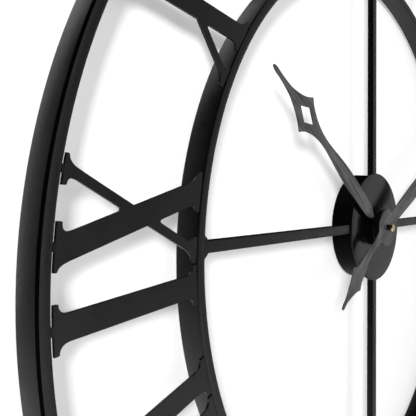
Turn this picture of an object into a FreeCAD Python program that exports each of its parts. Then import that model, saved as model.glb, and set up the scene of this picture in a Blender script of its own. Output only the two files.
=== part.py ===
"""Large open-frame wall clock with welded roman numerals and a quartz movement.

Frame of the part: +Z is up, +X is to the right of someone reading the clock and the
clock faces -Y.  The origin is on the hand axis, in the plane of the wall (y = 0).
All sizes are in millimetres and live in the sheet "Sizes".
"""
import FreeCAD, Part
import math
import os
from FreeCAD import Placement, Rotation, Vector

doc = FreeCAD.newDocument("wall_clock")

# ---------------------------------------------------------------- driving sizes
SIZES = {
    # overall
    "wall_gap": 3.0,            # thickness of the pads that hold the clock off the wall
    "ring_depth": 21.5,         # front-to-back depth of both rings
    "outer_radius": 400.0,
    "outer_width": 9.4,
    "inner_radius": 277.5,
    "inner_width": 8.2,
    "ring_corner": 1.4,
    "tube_wall": 1.2,
    # spokes
    "spoke_width": 8.6,
    "spoke_depth": 6.4,
    "spoke_setback": 0.7,       # how far the spokes stand behind the front of the rings
    "spoke_weld": 4.0,
    # hub
    "hub_radius": 53.2,
    "hub_wall": 1.6,
    "hub_back": 2.6,            # hub's open back edge, measured from the wall
    "disc_radius": 55.4,
    "disc_thick": 1.4,
    "disc_proud": 0.9,          # how far the disc stands in front of the rings
    # numerals
    "sheet_thick": 2.0,
    "sheet_setback": 0.9,       # how far the numerals stand behind the front of the rings
    "numeral_gap": 1.2,         # gap between an outer serif and the outer ring
    "stroke_width": 15.5,
    "thin_width": 6.2,
    "serif_length": 27.4,
    "thin_serif": 17.6,
    "serif_thick": 3.6,
    "serif_fillet": 7.5,
    "stroke_pitch": 6.0,        # degrees between neighbouring strokes
    "cross_angle": 20.15,       # lean of the thick stroke of an X
    "cross_thin_angle": 22.8,   # lean of its thin stroke
    "vee_angle": 10.2,          # lean of the strokes of a V
    "tab_width": 5.0,
    # movement
    "case_side": 56.0,
    "case_corner": 3.0,
    "case_depth": 15.5,
    "case_split": 8.5,          # depth of the front shell
    "case_wall": 1.2,
    "washer_thick": 0.8,
    "washer_radius": 9.0,
    "bushing_radius": 4.0,
    "bushing_flange": 6.0,
    "bushing_length": 5.2,      # in front of the case
    "nut_radius": 6.6,
    "nut_thick": 2.0,
    "fit": 0.05,                # radial running clearance
    "tube_radius": 2.5,
    "shaft_radius": 1.6,
    "pivot_radius": 0.5,
    "mesh_gap": 0.15,           # between the tips of meshing wheels
    "wheel_thick": 0.8,
    "battery_radius": 7.1,
    "battery_length": 49.2,
    "button_radius": 2.7,
    "button_length": 1.2,
    "knob_radius": 6.5,
    "knob_thick": 1.8,
    # hands
    "hand_thick": 1.0,
    "hour_front": 5.4,          # hour hand's front face, in front of the rings
    "minute_front": 13.4,
    "hour_length": 242.5,
    "minute_length": 316.0,
    "tail_length": 128.5,
    "ridge_rise": 1.5,
    "minute_bow": 6.0,
    "bow_flat": 5.0,
    "bow_reach": 140.0,
    "tail_bow": 7.9,
    "boss_radius": 19.0,
    "hour_boss_radius": 19.5,
    "hour_boss_thick": 2.4,
    "collet_radius": 3.1,
    "collet_length": 4.4,
    "hand_nut_radius": 3.8,
    "hand_nut_length": 2.2,
    "hour_angle": 305.0,        # clockwise from twelve, as set
    "minute_angle": 60.0,
    # pads and hanger
    "pad_radius": 3.6,
    "pad_count": 6,
    "keyhole_head": 3.4,
    "keyhole_neck": 2.0,
    "keyhole_rise": 6.0,
}
FRONT = SIZES["wall_gap"] + SIZES["ring_depth"]     # front plane of the rings, from the wall

sheet = doc.addObject("Spreadsheet::Sheet", "Sizes")
for row, (alias, value) in enumerate(SIZES.items(), start=1):
    sheet.set("A%d" % row, alias)
    sheet.set("B%d" % row, str(value))
    sheet.setAlias("B%d" % row, alias)
doc.recompute()


def size(alias):
    """Value of one cell of the sheet."""
    return float(getattr(sheet, alias))


def bind(obj, prop, expression):
    """Tie a property to the sheet; names in the expression are aliases."""
    text = expression
    for alias in sorted(SIZES, key=len, reverse=True):
        text = text.replace("<%s>" % alias, "Sizes.%s" % alias)
    obj.setExpression(prop, text)


pieces = []


def keep(obj, label):
    """Register a finished sub-part under the name of its file."""
    obj.Label = label
    pieces.append(obj)
    return obj


# ---------------------------------------------------------------- helpers
def origin_plane(body, role):
    """Origin plane or axis of a body, found by its role."""
    for feature in body.Origin.OriginFeatures:
        if feature.Role == role:
            return feature
    raise ValueError(role)


def new_sketch(body, name, role, geometry):
    """Sketch on one of the body's origin planes."""
    sketch = body.newObject("Sketcher::SketchObject", name)
    sketch.AttachmentSupport = [(origin_plane(body, role), "")]
    sketch.MapMode = "FlatFace"
    for item in geometry:
        sketch.addGeometry(item, False)
    return sketch


def polyline(points):
    """Closed run of straight lines through (x, y) points."""
    lines = []
    for index, (x, y) in enumerate(points):
        nx, ny = points[(index + 1) % len(points)]
        lines.append(Part.LineSegment(Vector(x, y, 0), Vector(nx, ny, 0)))
    return lines


def circle(radius, x=0.0, y=0.0):
    return Part.Circle(Vector(x, y, 0), Vector(0, 0, 1), radius)


def rounded_box(x0, y0, x1, y1, radius):
    """Closed rectangle with round corners."""
    corners = [(x1 - radius, y1 - radius, 0), (x0 + radius, y1 - radius, 90),
               (x0 + radius, y0 + radius, 180), (x1 - radius, y0 + radius, 270)]
    arcs = []
    for cx, cy, start in corners:
        base = Part.Circle(Vector(cx, cy, 0), Vector(0, 0, 1), radius)
        arcs.append(Part.ArcOfCircle(base, math.radians(start), math.radians(start + 90)))
    geometry = []
    for index, arc in enumerate(arcs):
        following = arcs[(index + 1) % 4]
        geometry.append(arc)
        geometry.append(Part.LineSegment(arc.EndPoint, following.StartPoint))
    return geometry


def plate(label, geometry, back, thickness):
    """Flat piece parallel to the wall: outline in X and Z, padded towards the front.

    back and thickness are expressions of the sheet's aliases; back is measured from the wall.
    """
    body = doc.addObject("PartDesign::Body", label)
    sketch = new_sketch(body, label + "_outline", "XZ_Plane", geometry)
    pad = body.newObject("PartDesign::Pad", label + "_pad")
    pad.Profile = sketch
    bind(pad, "Length", thickness)
    bind(body, "Placement.Base.y", "-(%s)" % back)
    return keep(body, label)


def turn_about_axis(obj, angle):
    """Turn a piece about the hand axis, clockwise for the reader."""
    base = obj.Placement.Base
    obj.Placement = Placement(base, Rotation(Vector(0, 1, 0), angle))


def cylinder(name, radius, length, front, x=0.0, z=0.0):
    """Cylinder along Y; front is the distance of its front end from the wall."""
    obj = doc.addObject("Part::Cylinder", name)
    bind(obj, "Radius", radius)
    bind(obj, "Height", length)
    obj.Placement = Placement(Vector(x, 0, z), Rotation(Vector(1, 0, 0), -90))
    bind(obj, "Placement.Base.y", "-(%s)" % front)
    return obj


def fuse(name, members):
    obj = doc.addObject("Part::MultiFuse", name)
    obj.Shapes = members
    return obj


def cut(name, base, tool):
    obj = doc.addObject("Part::Cut", name)
    obj.Base = base
    obj.Tool = tool
    return obj


def group(label, members):
    """Identical pieces that share one node, as separate solids."""
    obj = doc.addObject("Part::Compound", label)
    obj.Links = members
    return keep(obj, label)


# ---------------------------------------------------------------- rings
def ring(label, radius, width):
    """Rolled rectangular tube: a revolved outline with a hollow core."""
    body = doc.addObject("PartDesign::Body", label)
    outer = size(radius)
    inner = outer - size(width)
    depth = size("ring_depth")
    wall = size("tube_wall")
    corner = size("ring_corner")
    outline = rounded_box(inner, 0, outer, depth, corner)
    sketch = new_sketch(body, label + "_outline", "XY_Plane", outline)
    solid = body.newObject("PartDesign::Revolution", label + "_rolled")
    solid.Profile = sketch
    solid.ReferenceAxis = (sketch, ["V_Axis"])
    solid.Angle = 360.0
    core = rounded_box(inner + wall, wall, outer - wall, depth - wall, max(corner - wall, 0.15))
    core_sketch = new_sketch(body, label + "_core", "XY_Plane", core)
    hollow = body.newObject("PartDesign::Groove", label + "_hollow")
    hollow.Profile = core_sketch
    hollow.ReferenceAxis = (core_sketch, ["V_Axis"])
    hollow.Angle = 360.0
    bind(body, "Placement.Base.y", "-<wall_gap> - <ring_depth>")
    return body


outer_ring = ring("outer_ring", "outer_radius", "outer_width")
slot_z = size("outer_radius") - size("outer_width") / 2
head = size("keyhole_head")
neck = size("keyhole_neck")
rise = size("keyhole_rise")
join = math.asin(neck / head)
side = math.sqrt(head ** 2 - neck ** 2)
# The slot runs sideways along the tube: a round entry with a narrow neck beside it.
slot_head = Part.ArcOfCircle(circle(head, 0, slot_z), join, 2 * math.pi - join)
slot_end = Part.ArcOfCircle(circle(neck, side + rise, slot_z), -math.pi / 2, math.pi / 2)
slot = [slot_head, slot_end,
        Part.LineSegment(slot_head.StartPoint, slot_end.EndPoint),
        Part.LineSegment(slot_head.EndPoint, slot_end.StartPoint)]
slot_sketch = new_sketch(outer_ring, "outer_ring_keyhole", "XZ_Plane", slot)
slot_sketch.AttachmentOffset = Placement(Vector(0, 0, -size("ring_depth")), Rotation())
keyhole = outer_ring.newObject("PartDesign::Pocket", "outer_ring_keyhole_cut")
keyhole.Profile = slot_sketch
bind(keyhole, "Length", "<tube_wall> * 1.5")
keyhole.Reversed = True
keep(outer_ring, "outer_ring")

inner_ring = keep(ring("inner_ring", "inner_radius", "inner_width"), "inner_ring")

# ---------------------------------------------------------------- spokes
half = size("spoke_width") / 2
ring_bore = size("inner_radius") - size("inner_width")
spoke_start = size("hub_radius") + 0.01
spoke_end = math.sqrt(ring_bore ** 2 - half ** 2) - 0.01
weld = size("spoke_weld")
weld_members = []
for name, angle in (("top", 0), ("right", 90), ("bottom", 180), ("left", 270)):
    geometry = rounded_box(-half, spoke_start, half, spoke_end, 0.3)
    spoke = plate("spoke_" + name, geometry, "<wall_gap> + <ring_depth> - <spoke_setback> - <spoke_depth>",
                  "<spoke_depth>")
    turn_about_axis(spoke, angle)
    for hand in (-1, 1):
        x0 = hand * (half + 0.01)
        top = math.sqrt(ring_bore ** 2 - (half + weld) ** 2) - 0.01
        bead = doc.addObject("Part::Feature", "spoke_weld_bead")
        corners = [Vector(x0, 0, top - weld), Vector(x0 + hand * weld, 0, top), Vector(x0, 0, top)]
        face = Part.Face(Part.makePolygon(corners + corners[:1]))
        bead.Shape = face.extrude(Vector(0, -size("spoke_depth") + 1.0, 0))
        bead.Placement = Placement(Vector(0, -(FRONT - size("spoke_setback") - size("spoke_depth") + 0.5), 0),
                                   Rotation(Vector(0, 1, 0), 0))
        turn_about_axis(bead, angle)
        weld_members.append(bead)
group("spoke_welds", weld_members)

# ---------------------------------------------------------------- hub
drum_geometry = [circle(size("hub_radius")), circle(size("hub_radius") - size("hub_wall"))]
hub_drum = plate("hub_drum", drum_geometry, "<hub_back>",
                 "<wall_gap> + <ring_depth> + <disc_proud> - <disc_thick> - <hub_back>")
disc_geometry = [circle(size("disc_radius")), circle(size("bushing_radius") + size("fit"))]
hub_disc = plate("hub_disc", disc_geometry,
                 "<wall_gap> + <ring_depth> + <disc_proud> - <disc_thick>", "<disc_thick>")
doc.recompute()
disc_pad = hub_disc.Tip
front_edges = []
for index, edge in enumerate(disc_pad.Shape.Edges, start=1):
    box = edge.BoundBox
    on_front = abs(box.YMin - disc_pad.Shape.BoundBox.YMin) < 1e-6 and box.YLength < 1e-6
    if on_front and box.XLength > size("disc_radius"):
        front_edges.append("Edge%d" % index)
rim = hub_disc.newObject("PartDesign::Fillet", "hub_disc_rim")
rim.Base = (disc_pad, front_edges)
rim.Radius = 0.5


# ---------------------------------------------------------------- numerals
def bar_with_serifs(length, width, serif, tip, fillet, lean=0.0, shift_out=0.0, shift_in=0.0):
    """Outline of one letter stroke in its own frame: u across, v along the radius.

    The serifs lie along v = +-length/2.  lean shifts the stroke's ends sideways by
    +-(length/2)*tan(lean); the serifs stay square to the radius.  Corners between
    stroke and serif are concave curves of about the given fillet.
    """
    half_long = length / 2
    slope = math.tan(math.radians(lean))
    across = width / 2 / math.cos(math.radians(lean))
    inner_v = half_long - tip
    points = []

    def concave(start, corner, end, steps=6):
        run = []
        for step in range(steps + 1):
            t = step / steps
            x = (1 - t) ** 2 * start[0] + 2 * t * (1 - t) * corner[0] + t ** 2 * end[0]
            y = (1 - t) ** 2 * start[1] + 2 * t * (1 - t) * corner[1] + t ** 2 * end[1]
            run.append((x, y))
        return run

    def end_outline(sign, shift):
        """Right-hand then left-hand points of one end, sign = +1 for the outer end."""
        centre = sign * half_long * slope + shift
        edge_v = sign * half_long
        root_v = sign * inner_v
        right_out = (centre + serif / 2, edge_v)
        right_tip = (centre + serif / 2, edge_v - sign * tip * 0.75)
        left_out = (centre - serif / 2, edge_v)
        left_tip = (centre - serif / 2, edge_v - sign * tip * 0.75)
        foot_v = root_v - sign * fillet
        right_foot = (foot_v * slope + across, foot_v)
        left_foot = (foot_v * slope - across, foot_v)
        right_corner = (root_v * slope + across, root_v)
        left_corner = (root_v * slope - across, root_v)
        right_start = (min(right_corner[0] + fillet, right_tip[0] - 0.3), root_v)
        left_start = (max(left_corner[0] - fillet, left_tip[0] + 0.3), root_v)
        right_run = [right_out, right_tip] + concave(right_start, right_corner, right_foot)
        left_run = [left_out, left_tip] + concave(left_start, left_corner, left_foot)
        return right_run, left_run

    right_a, left_a = end_outline(+1, shift_out)
    right_b, left_b = end_outline(-1, shift_in)
    points.extend(right_a)
    points.extend(reversed(right_b))
    points.extend(left_b)
    points.extend(reversed(left_a))
    return points


band_in = size("inner_radius") + 0.02
band_out = size("outer_radius") - size("outer_width") - size("numeral_gap")
band = band_out - band_in
band_mid = (band_out + band_in) / 2
weld_tabs = []


def letter_face(points):
    wire = Part.makePolygon([Vector(u, 0, v) for u, v in points + points[:1]])
    return Part.Face(wire)


def sheet_letter(name, faces, angle):
    """Cut one letter from the sheet and stand it at a clock angle."""
    solid = faces[0].extrude(Vector(0, -size("sheet_thick"), 0))
    for face in faces[1:]:
        solid = solid.fuse(face.extrude(Vector(0, -size("sheet_thick"), 0)))
    limit = Part.makeCylinder(band_out, size("sheet_thick") * 3, Vector(0, size("sheet_thick"), 0),
                              Vector(0, -1, 0))
    bore = Part.makeCylinder(band_in, size("sheet_thick") * 3, Vector(0, size("sheet_thick"), 0),
                             Vector(0, -1, 0))
    solid.translate(Vector(0, 0, band_mid))
    solid = solid.common(limit).cut(bore).removeSplitter()
    if solid.ShapeType == "Compound" and len(solid.Solids) == 1:
        solid = solid.Solids[0]
    obj = doc.addObject("Part::Feature", name)
    obj.Shape = solid
    back = FRONT - size("sheet_setback") - size("sheet_thick")
    obj.Placement = Placement(Vector(0, -back, 0), Rotation(Vector(0, 1, 0), angle))
    return obj


# A serif is square to the radius, so its outline is made longer than the band and then
# trimmed to the rings' curves.
OVER = 1.6


def stroke_i(name, angle):
    points = bar_with_serifs(band + OVER, size("stroke_width"), size("serif_length"),
                             size("serif_thick") + OVER / 2, size("serif_fillet"))
    add_tab(angle)
    return sheet_letter(name, [letter_face(points)], angle)


def add_tab(angle, shift=0.0):
    """Short weld between an outer serif and the outer ring."""
    tab = doc.addObject("Part::Feature", "tab")
    width = size("tab_width")
    bore = size("outer_radius") - size("outer_width")
    box = Part.makeBox(width, size("sheet_thick") - 0.4, size("numeral_gap") + 2,
                       Vector(-width / 2, -size("sheet_thick") + 0.2, band_out - 1))
    height = size("sheet_thick") * 3
    ring_limit = Part.makeCylinder(bore - 0.02, height, Vector(0, size("sheet_thick"), 0), Vector(0, -1, 0))
    letter_limit = Part.makeCylinder(band_out + 0.02, height, Vector(0, size("sheet_thick"), 0),
                                     Vector(0, -1, 0))
    tab.Shape = box.common(ring_limit).cut(letter_limit)
    back = FRONT - size("sheet_setback") - size("sheet_thick")
    offset = math.degrees(shift / band_out)
    tab.Placement = Placement(Vector(0, -back, 0), Rotation(Vector(0, 1, 0), angle + offset))
    weld_tabs.append(tab)


def letter_x(name, angle):
    """X whose strokes cross a little inside the middle of the band."""
    thick_tip = size("serif_thick") + OVER / 2
    thick = bar_with_serifs(band + OVER, size("stroke_width"), size("serif_length"), thick_tip,
                            size("serif_fillet"), -size("cross_angle"), 3.5, -1.5)
    thin = bar_with_serifs(band + OVER, size("thin_width"), size("thin_serif"), thick_tip,
                           size("serif_fillet"), size("cross_thin_angle"), -2.2, 1.2)
    thick = [(u - 2.25, v) for u, v in thick]
    thin = [(u + 0.7, v) for u, v in thin]
    half = (band + OVER) / 2
    add_tab(angle, -half * math.tan(math.radians(size("cross_angle"))) + 3.5 - 2.25)
    add_tab(angle, half * math.tan(math.radians(size("cross_thin_angle"))) - 2.2 + 0.7)
    return sheet_letter(name, [letter_face(thick), letter_face(thin)], angle)


def letter_v(name, angle):
    """V with its point at the inner ring; the thick stroke is on the reader's left."""
    lean = size("vee_angle")
    tip = size("serif_thick") + OVER / 2
    total = band + OVER
    slope = math.tan(math.radians(lean))
    top = total / 2
    root = top - tip
    fillet = size("serif_fillet")
    left_half = size("stroke_width") / 2 / math.cos(math.radians(lean))
    right_half = size("thin_width") / 2 / math.cos(math.radians(lean))
    reach = total * slope
    centre = (left_half - right_half) / 2
    faces = []
    for sign, half_width, serif in ((-1, left_half, size("serif_length")),
                                    (1, right_half, size("thin_serif"))):
        foot = centre * 0.0
        top_x = sign * (reach / 2 + 3.0)
        bottom_x = foot

        def axis_x(v):
            return bottom_x + (top_x - bottom_x) * (v + top) / total

        points = [(top_x - serif / 2, top), (top_x - serif / 2, top - tip * 0.75),
                  (max(axis_x(root) - half_width - fillet, top_x - serif / 2 + 0.3), root),
                  (axis_x(root - fillet * 0.35) - half_width - fillet * 0.3, root - fillet * 0.35),
                  (axis_x(root - fillet) - half_width, root - fillet),
                  (bottom_x - half_width, -top), (bottom_x + half_width, -top),
                  (axis_x(root - fillet) + half_width, root - fillet),
                  (axis_x(root - fillet * 0.35) + half_width + fillet * 0.3, root - fillet * 0.35),
                  (min(axis_x(root) + half_width + fillet, top_x + serif / 2 - 0.3), root),
                  (top_x + serif / 2, top - tip * 0.75), (top_x + serif / 2, top)]
        faces.append(letter_face(points))
        add_tab(angle, top_x)
    return sheet_letter(name, faces, angle)


PITCH = size("stroke_pitch")
NUMERALS = {
    1: "I", 2: "II", 3: "III", 4: "IIII", 5: "V", 6: "VI",
    7: "VII", 8: "VIII", 9: "IX", 10: "X", 11: "XI", 12: "XII",
}
# Angles of each letter from the numeral's hour, reading clockwise.
OFFSETS = {
    "I": [0.0],
    "II": [-3.0, 3.0],
    "III": [-6.0, 0.0, 6.0],
    "IIII": [-9.0, -3.0, 3.0, 9.0],
    "V": [0.0],
    "VI": [-3.9, 4.9],
    "VII": [-6.9, 1.9, 7.9],
    "VIII": [-9.1, -0.3, 5.7, 11.7],
    "IX": [-5.05, 4.35],
    "X": [0.4],
    "XI": [-4.5, 5.2],
    "XII": [-7.5, 2.2, 8.2],
}
for hour, letters in NUMERALS.items():
    strokes = []
    for letter, offset in zip(letters, OFFSETS[letters]):
        angle = 30.0 * hour + offset * PITCH / 6.0
        if letter == "I":
            strokes.append(stroke_i("stroke_%02d" % hour, angle))
        elif letter == "V":
            keep(letter_v("vee_%02d" % hour, angle), "numeral_%02d_v" % hour)
        else:
            keep(letter_x("cross_%02d" % hour, angle), "numeral_%02d_x" % hour)
    if strokes:
        group("numeral_%02d_i" % hour, strokes)
group("numeral_welds", weld_tabs)

# ---------------------------------------------------------------- wall pads
pads = []
for index in range(int(size("pad_count"))):
    angle = math.radians(15 + 360.0 / size("pad_count") * index)
    pad = cylinder("wall_pad", "<pad_radius>", "<wall_gap>", "<wall_gap>",
                   slot_z * math.sin(angle), slot_z * math.cos(angle))
    pads.append(pad)
group("wall_pads", pads)

# ---------------------------------------------------------------- movement, fixed pieces
# Distances from the wall, as expressions of the sheet.
CASE_FRONT = "<wall_gap> + <ring_depth> + <disc_proud> - <disc_thick> - <washer_thick>"
CASE_BACK = "%s - <case_depth>" % CASE_FRONT
SPLIT = "%s - <case_split>" % CASE_FRONT
DISC_FRONT = "<wall_gap> + <ring_depth> + <disc_proud>"
case_front_y = (size("wall_gap") + size("ring_depth") + size("disc_proud") - size("disc_thick")
                - size("washer_thick"))
case_back_y = case_front_y - size("case_depth")
wall = size("case_wall")
floor_front = case_front_y - wall       # inner face of the front shell
floor_back = case_back_y + wall         # inner face of the back shell
case_half = size("case_side") / 2
room = case_half - wall
bay_top = -room + 2 * size("battery_radius") + 0.8
bay_wall = bay_top + wall
corner = size("case_corner")
fit = size("fit")

# Train layers, from the wall, measured off the front shell's inner face.
HOUR_LAYER = floor_front - 2.0
MINUTE_LAYER = HOUR_LAYER - 1.2
CENTRE_LAYER = MINUTE_LAYER - 1.8
THIRD_LAYER = CENTRE_LAYER - 2.2
FOURTH_LAYER = THIRD_LAYER - 2.0
FIFTH_LAYER = FOURTH_LAYER - 1.8
wheel = size("wheel_thick")
gap = size("mesh_gap")

# Tip radii and tooth counts of the motion work and of the going train.
CANNON = (1.95, 10)
MINUTE_WHEEL = (5.4, 30)
MINUTE_PINION = (1.45, 8)
HOUR_WHEEL = (MINUTE_WHEEL[0] + CANNON[0] - MINUTE_PINION[0], 32)
SETTING_PINION = (1.5, 8)
CENTRE_WHEEL = (8.4, 64)
THIRD_PINION = (1.1, 8)
THIRD_WHEEL = (6.5, 60)
FOURTH_PINION = (0.95, 8)
FOURTH_WHEEL = (6.0, 48)
FIFTH_PINION = (1.0, 8)
FIFTH_WHEEL = (5.5, 40)
ROTOR_PINION = (1.1, 8)


def beside(start, first, second, angle):
    """Centre of a wheel that meshes with the one at start, at an angle from +X."""
    distance = first[0] + second[0] + gap
    turn = math.radians(angle)
    return (start[0] + distance * math.cos(turn), start[1] + distance * math.sin(turn))


minute_wheel_at = beside((0, 0), CANNON, MINUTE_WHEEL, 180)
setting_at = beside(minute_wheel_at, MINUTE_WHEEL, SETTING_PINION, 180)
third_at = beside((0, 0), CENTRE_WHEEL, THIRD_PINION, 60)
fourth_at = beside(third_at, THIRD_WHEEL, FOURTH_PINION, 0)
fifth_at = beside(fourth_at, FOURTH_WHEEL, FIFTH_PINION, -70)
rotor_at = beside(fifth_at, FIFTH_WHEEL, ROTOR_PINION, -20)
PIVOTS_BOTH = [third_at, fourth_at, fifth_at, rotor_at]

case_outline = rounded_box(-case_half, -case_half, case_half, case_half, corner)


def pocket(body, name, geometry, offset, length, towards_front):
    """Pocket parallel to the wall; offset is the sketch plane's distance in front of the body."""
    sketch = new_sketch(body, name + "_outline", "XZ_Plane", geometry)
    sketch.AttachmentOffset = Placement(Vector(0, 0, offset), Rotation())
    feature = body.newObject("PartDesign::Pocket", name)
    feature.Profile = sketch
    bind(feature, "Length", length)
    feature.Reversed = towards_front
    return feature


case_front = plate("movement_case_front", case_outline, SPLIT, "<case_split>")
rooms = rounded_box(-room, bay_wall, room, room, corner - wall)
rooms += rounded_box(-room, -room, room, bay_top, corner - wall)
pocket(case_front, "front_rooms", rooms, 0, "<case_split> - <case_wall>", True)
pocket(case_front, "front_hole", [circle(size("bushing_radius"))], 0, "<case_split>", True)
bearings = [circle(size("pivot_radius") + fit, *place) for place in PIVOTS_BOTH]
bearings += [circle(size("pivot_radius") + fit, *place) for place in (minute_wheel_at, setting_at)]
pocket(case_front, "front_bearings", bearings, 0, "<case_split> - <case_wall> + 0.8", True)

back_depth = size("case_depth") - size("case_split")
case_back = plate("movement_case_back", case_outline, CASE_BACK, "<case_depth> - <case_split>")
rooms = rounded_box(-room, bay_wall, room, room, corner - wall)
pocket(case_back, "back_room", rooms, back_depth, "<case_depth> - <case_split> - <case_wall>", False)
bay = rounded_box(-room, -room, room, bay_top, corner - wall)
pocket(case_back, "battery_bay", bay, back_depth, "<case_depth> - <case_split>", False)
bearings = [circle(size("pivot_radius") + fit, *place) for place in PIVOTS_BOTH + [(0.0, 0.0)]]
pocket(case_back, "back_bearings", bearings, back_depth, "<case_depth> - <case_split> - 0.4", False)
setting_hole = [circle(1.0 + fit, *setting_at)]
pocket(case_back, "setting_hole", setting_hole, back_depth, "<case_depth> - <case_split>", False)

washer_geometry = [circle(size("washer_radius")), circle(size("bushing_radius"))]
plate("rubber_washer", washer_geometry, CASE_FRONT, "<washer_thick>")

flange = cylinder("bushing_flange", "<bushing_flange>", "1.0", "%s - <case_wall>" % CASE_FRONT)
barrel = cylinder("bushing_barrel", "<bushing_radius>", "<bushing_length> + <case_wall> + 1.0",
                  "%s + <bushing_length>" % CASE_FRONT)
bushing_bore = cylinder("bushing_bore", "<tube_radius> + <fit>", "<bushing_length> + 6",
                        "%s + <bushing_length> + 1" % CASE_FRONT)
keep(cut("bushing", fuse("bushing_blank", [flange, barrel]), bushing_bore), "threaded_bushing")

hexagon = []
for index in range(6):
    turn = math.radians(60 * index)
    hexagon.append((size("nut_radius") * math.cos(turn), size("nut_radius") * math.sin(turn)))
nut_geometry = polyline(hexagon) + [circle(size("bushing_radius") + 0.01)]
plate("bushing_nut", nut_geometry, DISC_FRONT, "<nut_thick>")

# Battery lying across the bottom of the case, with its button on the right.
battery_y = floor_front - size("battery_radius") - 0.2
battery_z = -room + size("battery_radius") + 0.4
cell = doc.addObject("Part::Cylinder", "battery_cell")
bind(cell, "Radius", "<battery_radius>")
bind(cell, "Height", "<battery_length>")
button = doc.addObject("Part::Cylinder", "battery_button")
bind(button, "Radius", "<button_radius>")
bind(button, "Height", "<battery_length> + <button_length>")
along_x = Rotation(Vector(0, 1, 0), 90)
cell_x = -(size("battery_length") + size("button_length")) / 2
cell.Placement = Placement(Vector(cell_x, -battery_y, battery_z), along_x)
button.Placement = Placement(Vector(cell_x, -battery_y, battery_z), along_x)
keep(fuse("battery_solid", [cell, button]), "battery")

contacts = []
contact_thick = room + cell_x - 0.25
for hand in (-1, 1):
    leaf = doc.addObject("Part::Box", "contact_leaf")
    leaf.Length = contact_thick
    leaf.Width = 7.0
    leaf.Height = 8.0
    x0 = -room if hand < 0 else room - contact_thick
    leaf.Placement = Placement(Vector(x0, -battery_y - 3.5, battery_z - 4.0), Rotation())
    contacts.append(leaf)
group("battery_contacts", contacts)

board_front = floor_front
board = plate("circuit_board", rounded_box(-room + 1.5, 14, -9, room - 1.5, 0.5), "%.3f" % (board_front - 1.0),
              "1.0")

coil_at = (3.0, 21.0)
coil_y = THIRD_LAYER - 0.2
winding = doc.addObject("Part::Cylinder", "winding")
winding.Radius = 3.4
winding.Height = 18.0
winding.Placement = Placement(Vector(coil_at[0] - 9, -coil_y, coil_at[1]), along_x)
core_hole = doc.addObject("Part::Box", "core_hole")
core_hole.Length = 20.0
core_hole.Width = 1.0
core_hole.Height = 2.0
core_hole.Placement = Placement(Vector(coil_at[0] - 10, -coil_y - 0.5, coil_at[1] - 1), Rotation())
keep(cut("coil_winding", winding, core_hole), "coil")

leg_x = rotor_at[0] - 4.6
stator_outline = [(coil_at[0] - 10, 20.0), (leg_x, 20.0), (leg_x, rotor_at[1] - 4.6),
                  (rotor_at[0] + 4.4, rotor_at[1] - 4.6), (rotor_at[0] + 4.4, 22.0),
                  (coil_at[0] - 10, 22.0)]
stator_geometry = polyline(stator_outline) + [circle(3.4, *rotor_at)]
plate("stator", stator_geometry, "%.3f" % (coil_y - 0.5), "1.0")


# ---------------------------------------------------------------- movement, turning pieces
def toothed(radius, teeth, thickness, front, place):
    """Wheel or pinion with straight-sided teeth, its front face at a distance from the wall."""
    pitch = 2 * math.pi / teeth
    tooth_depth = min(1.6 * radius / teeth, 0.28 * radius)
    outline = []
    for index in range(teeth):
        start = index * pitch
        for share, level in ((0.0, radius - tooth_depth), (0.22, radius - tooth_depth * 0.9),
                             (0.36, radius), (0.64, radius), (0.78, radius - tooth_depth * 0.9)):
            turn = start + share * pitch
            outline.append(Vector(level * math.cos(turn), 0, level * math.sin(turn)))
    face = Part.Face(Part.makePolygon(outline + outline[:1]))
    solid = face.extrude(Vector(0, thickness, 0))
    solid.translate(Vector(place[0], -front, place[1]))
    return solid


def rod(radius, front, back, place=(0.0, 0.0)):
    """Round rod along Y between two distances from the wall."""
    return Part.makeCylinder(radius, front - back, Vector(place[0], -front, place[1]), Vector(0, 1, 0))


def solid_piece(label, shapes, holes=()):
    """One piece out of fused shapes, with round holes cut through it."""
    shape = shapes[0].multiFuse(shapes[1:]) if len(shapes) > 1 else shapes[0]
    for hole in holes:
        shape = shape.cut(hole)
    shape = shape.removeSplitter()
    if len(shape.Solids) == 1:
        shape = shape.Solids[0]
    obj = doc.addObject("Part::Feature", label)
    obj.Shape = shape
    return keep(obj, label)


pivot = size("pivot_radius")
pivot_front = floor_front + 0.65
pivot_back = floor_back - 0.65
arbor = 0.6
shoulder = 0.15


def train_arbor(label, wheel_spec, wheel_layer, pinion_spec, pinion_layer, place):
    """Wheel and pinion on one arbor between the two shells."""
    parts = [rod(pivot, pivot_front, pivot_back, place),
             rod(arbor, floor_front - shoulder, floor_back + shoulder, place),
             toothed(pinion_spec[0], pinion_spec[1], wheel + 0.4, pinion_layer + 0.2, place)]
    if wheel_spec:
        parts.append(toothed(wheel_spec[0], wheel_spec[1], wheel, wheel_layer, place))
    return parts


solid_piece("third_wheel", train_arbor("third", THIRD_WHEEL, THIRD_LAYER, THIRD_PINION, CENTRE_LAYER,
                                       third_at))
solid_piece("fourth_wheel", train_arbor("fourth", FOURTH_WHEEL, FOURTH_LAYER, FOURTH_PINION,
                                        THIRD_LAYER, fourth_at))
solid_piece("fifth_wheel", train_arbor("fifth", FIFTH_WHEEL, FIFTH_LAYER, FIFTH_PINION, FOURTH_LAYER,
                                       fifth_at))
magnet = rod(2.9, coil_y + 1.4, coil_y - 1.4, rotor_at)
solid_piece("rotor", train_arbor("rotor", None, 0, ROTOR_PINION, FIFTH_LAYER, rotor_at) + [magnet])

shaft = size("shaft_radius")
centre_boss = rod(shaft + 1.2, CENTRE_LAYER, CENTRE_LAYER - 1.4)
solid_piece("centre_wheel", [toothed(CENTRE_WHEEL[0], CENTRE_WHEEL[1], wheel, CENTRE_LAYER, (0, 0)),
                             centre_boss],
            [rod(shaft + fit, CENTRE_LAYER + 1, CENTRE_LAYER - 3)])

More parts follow.
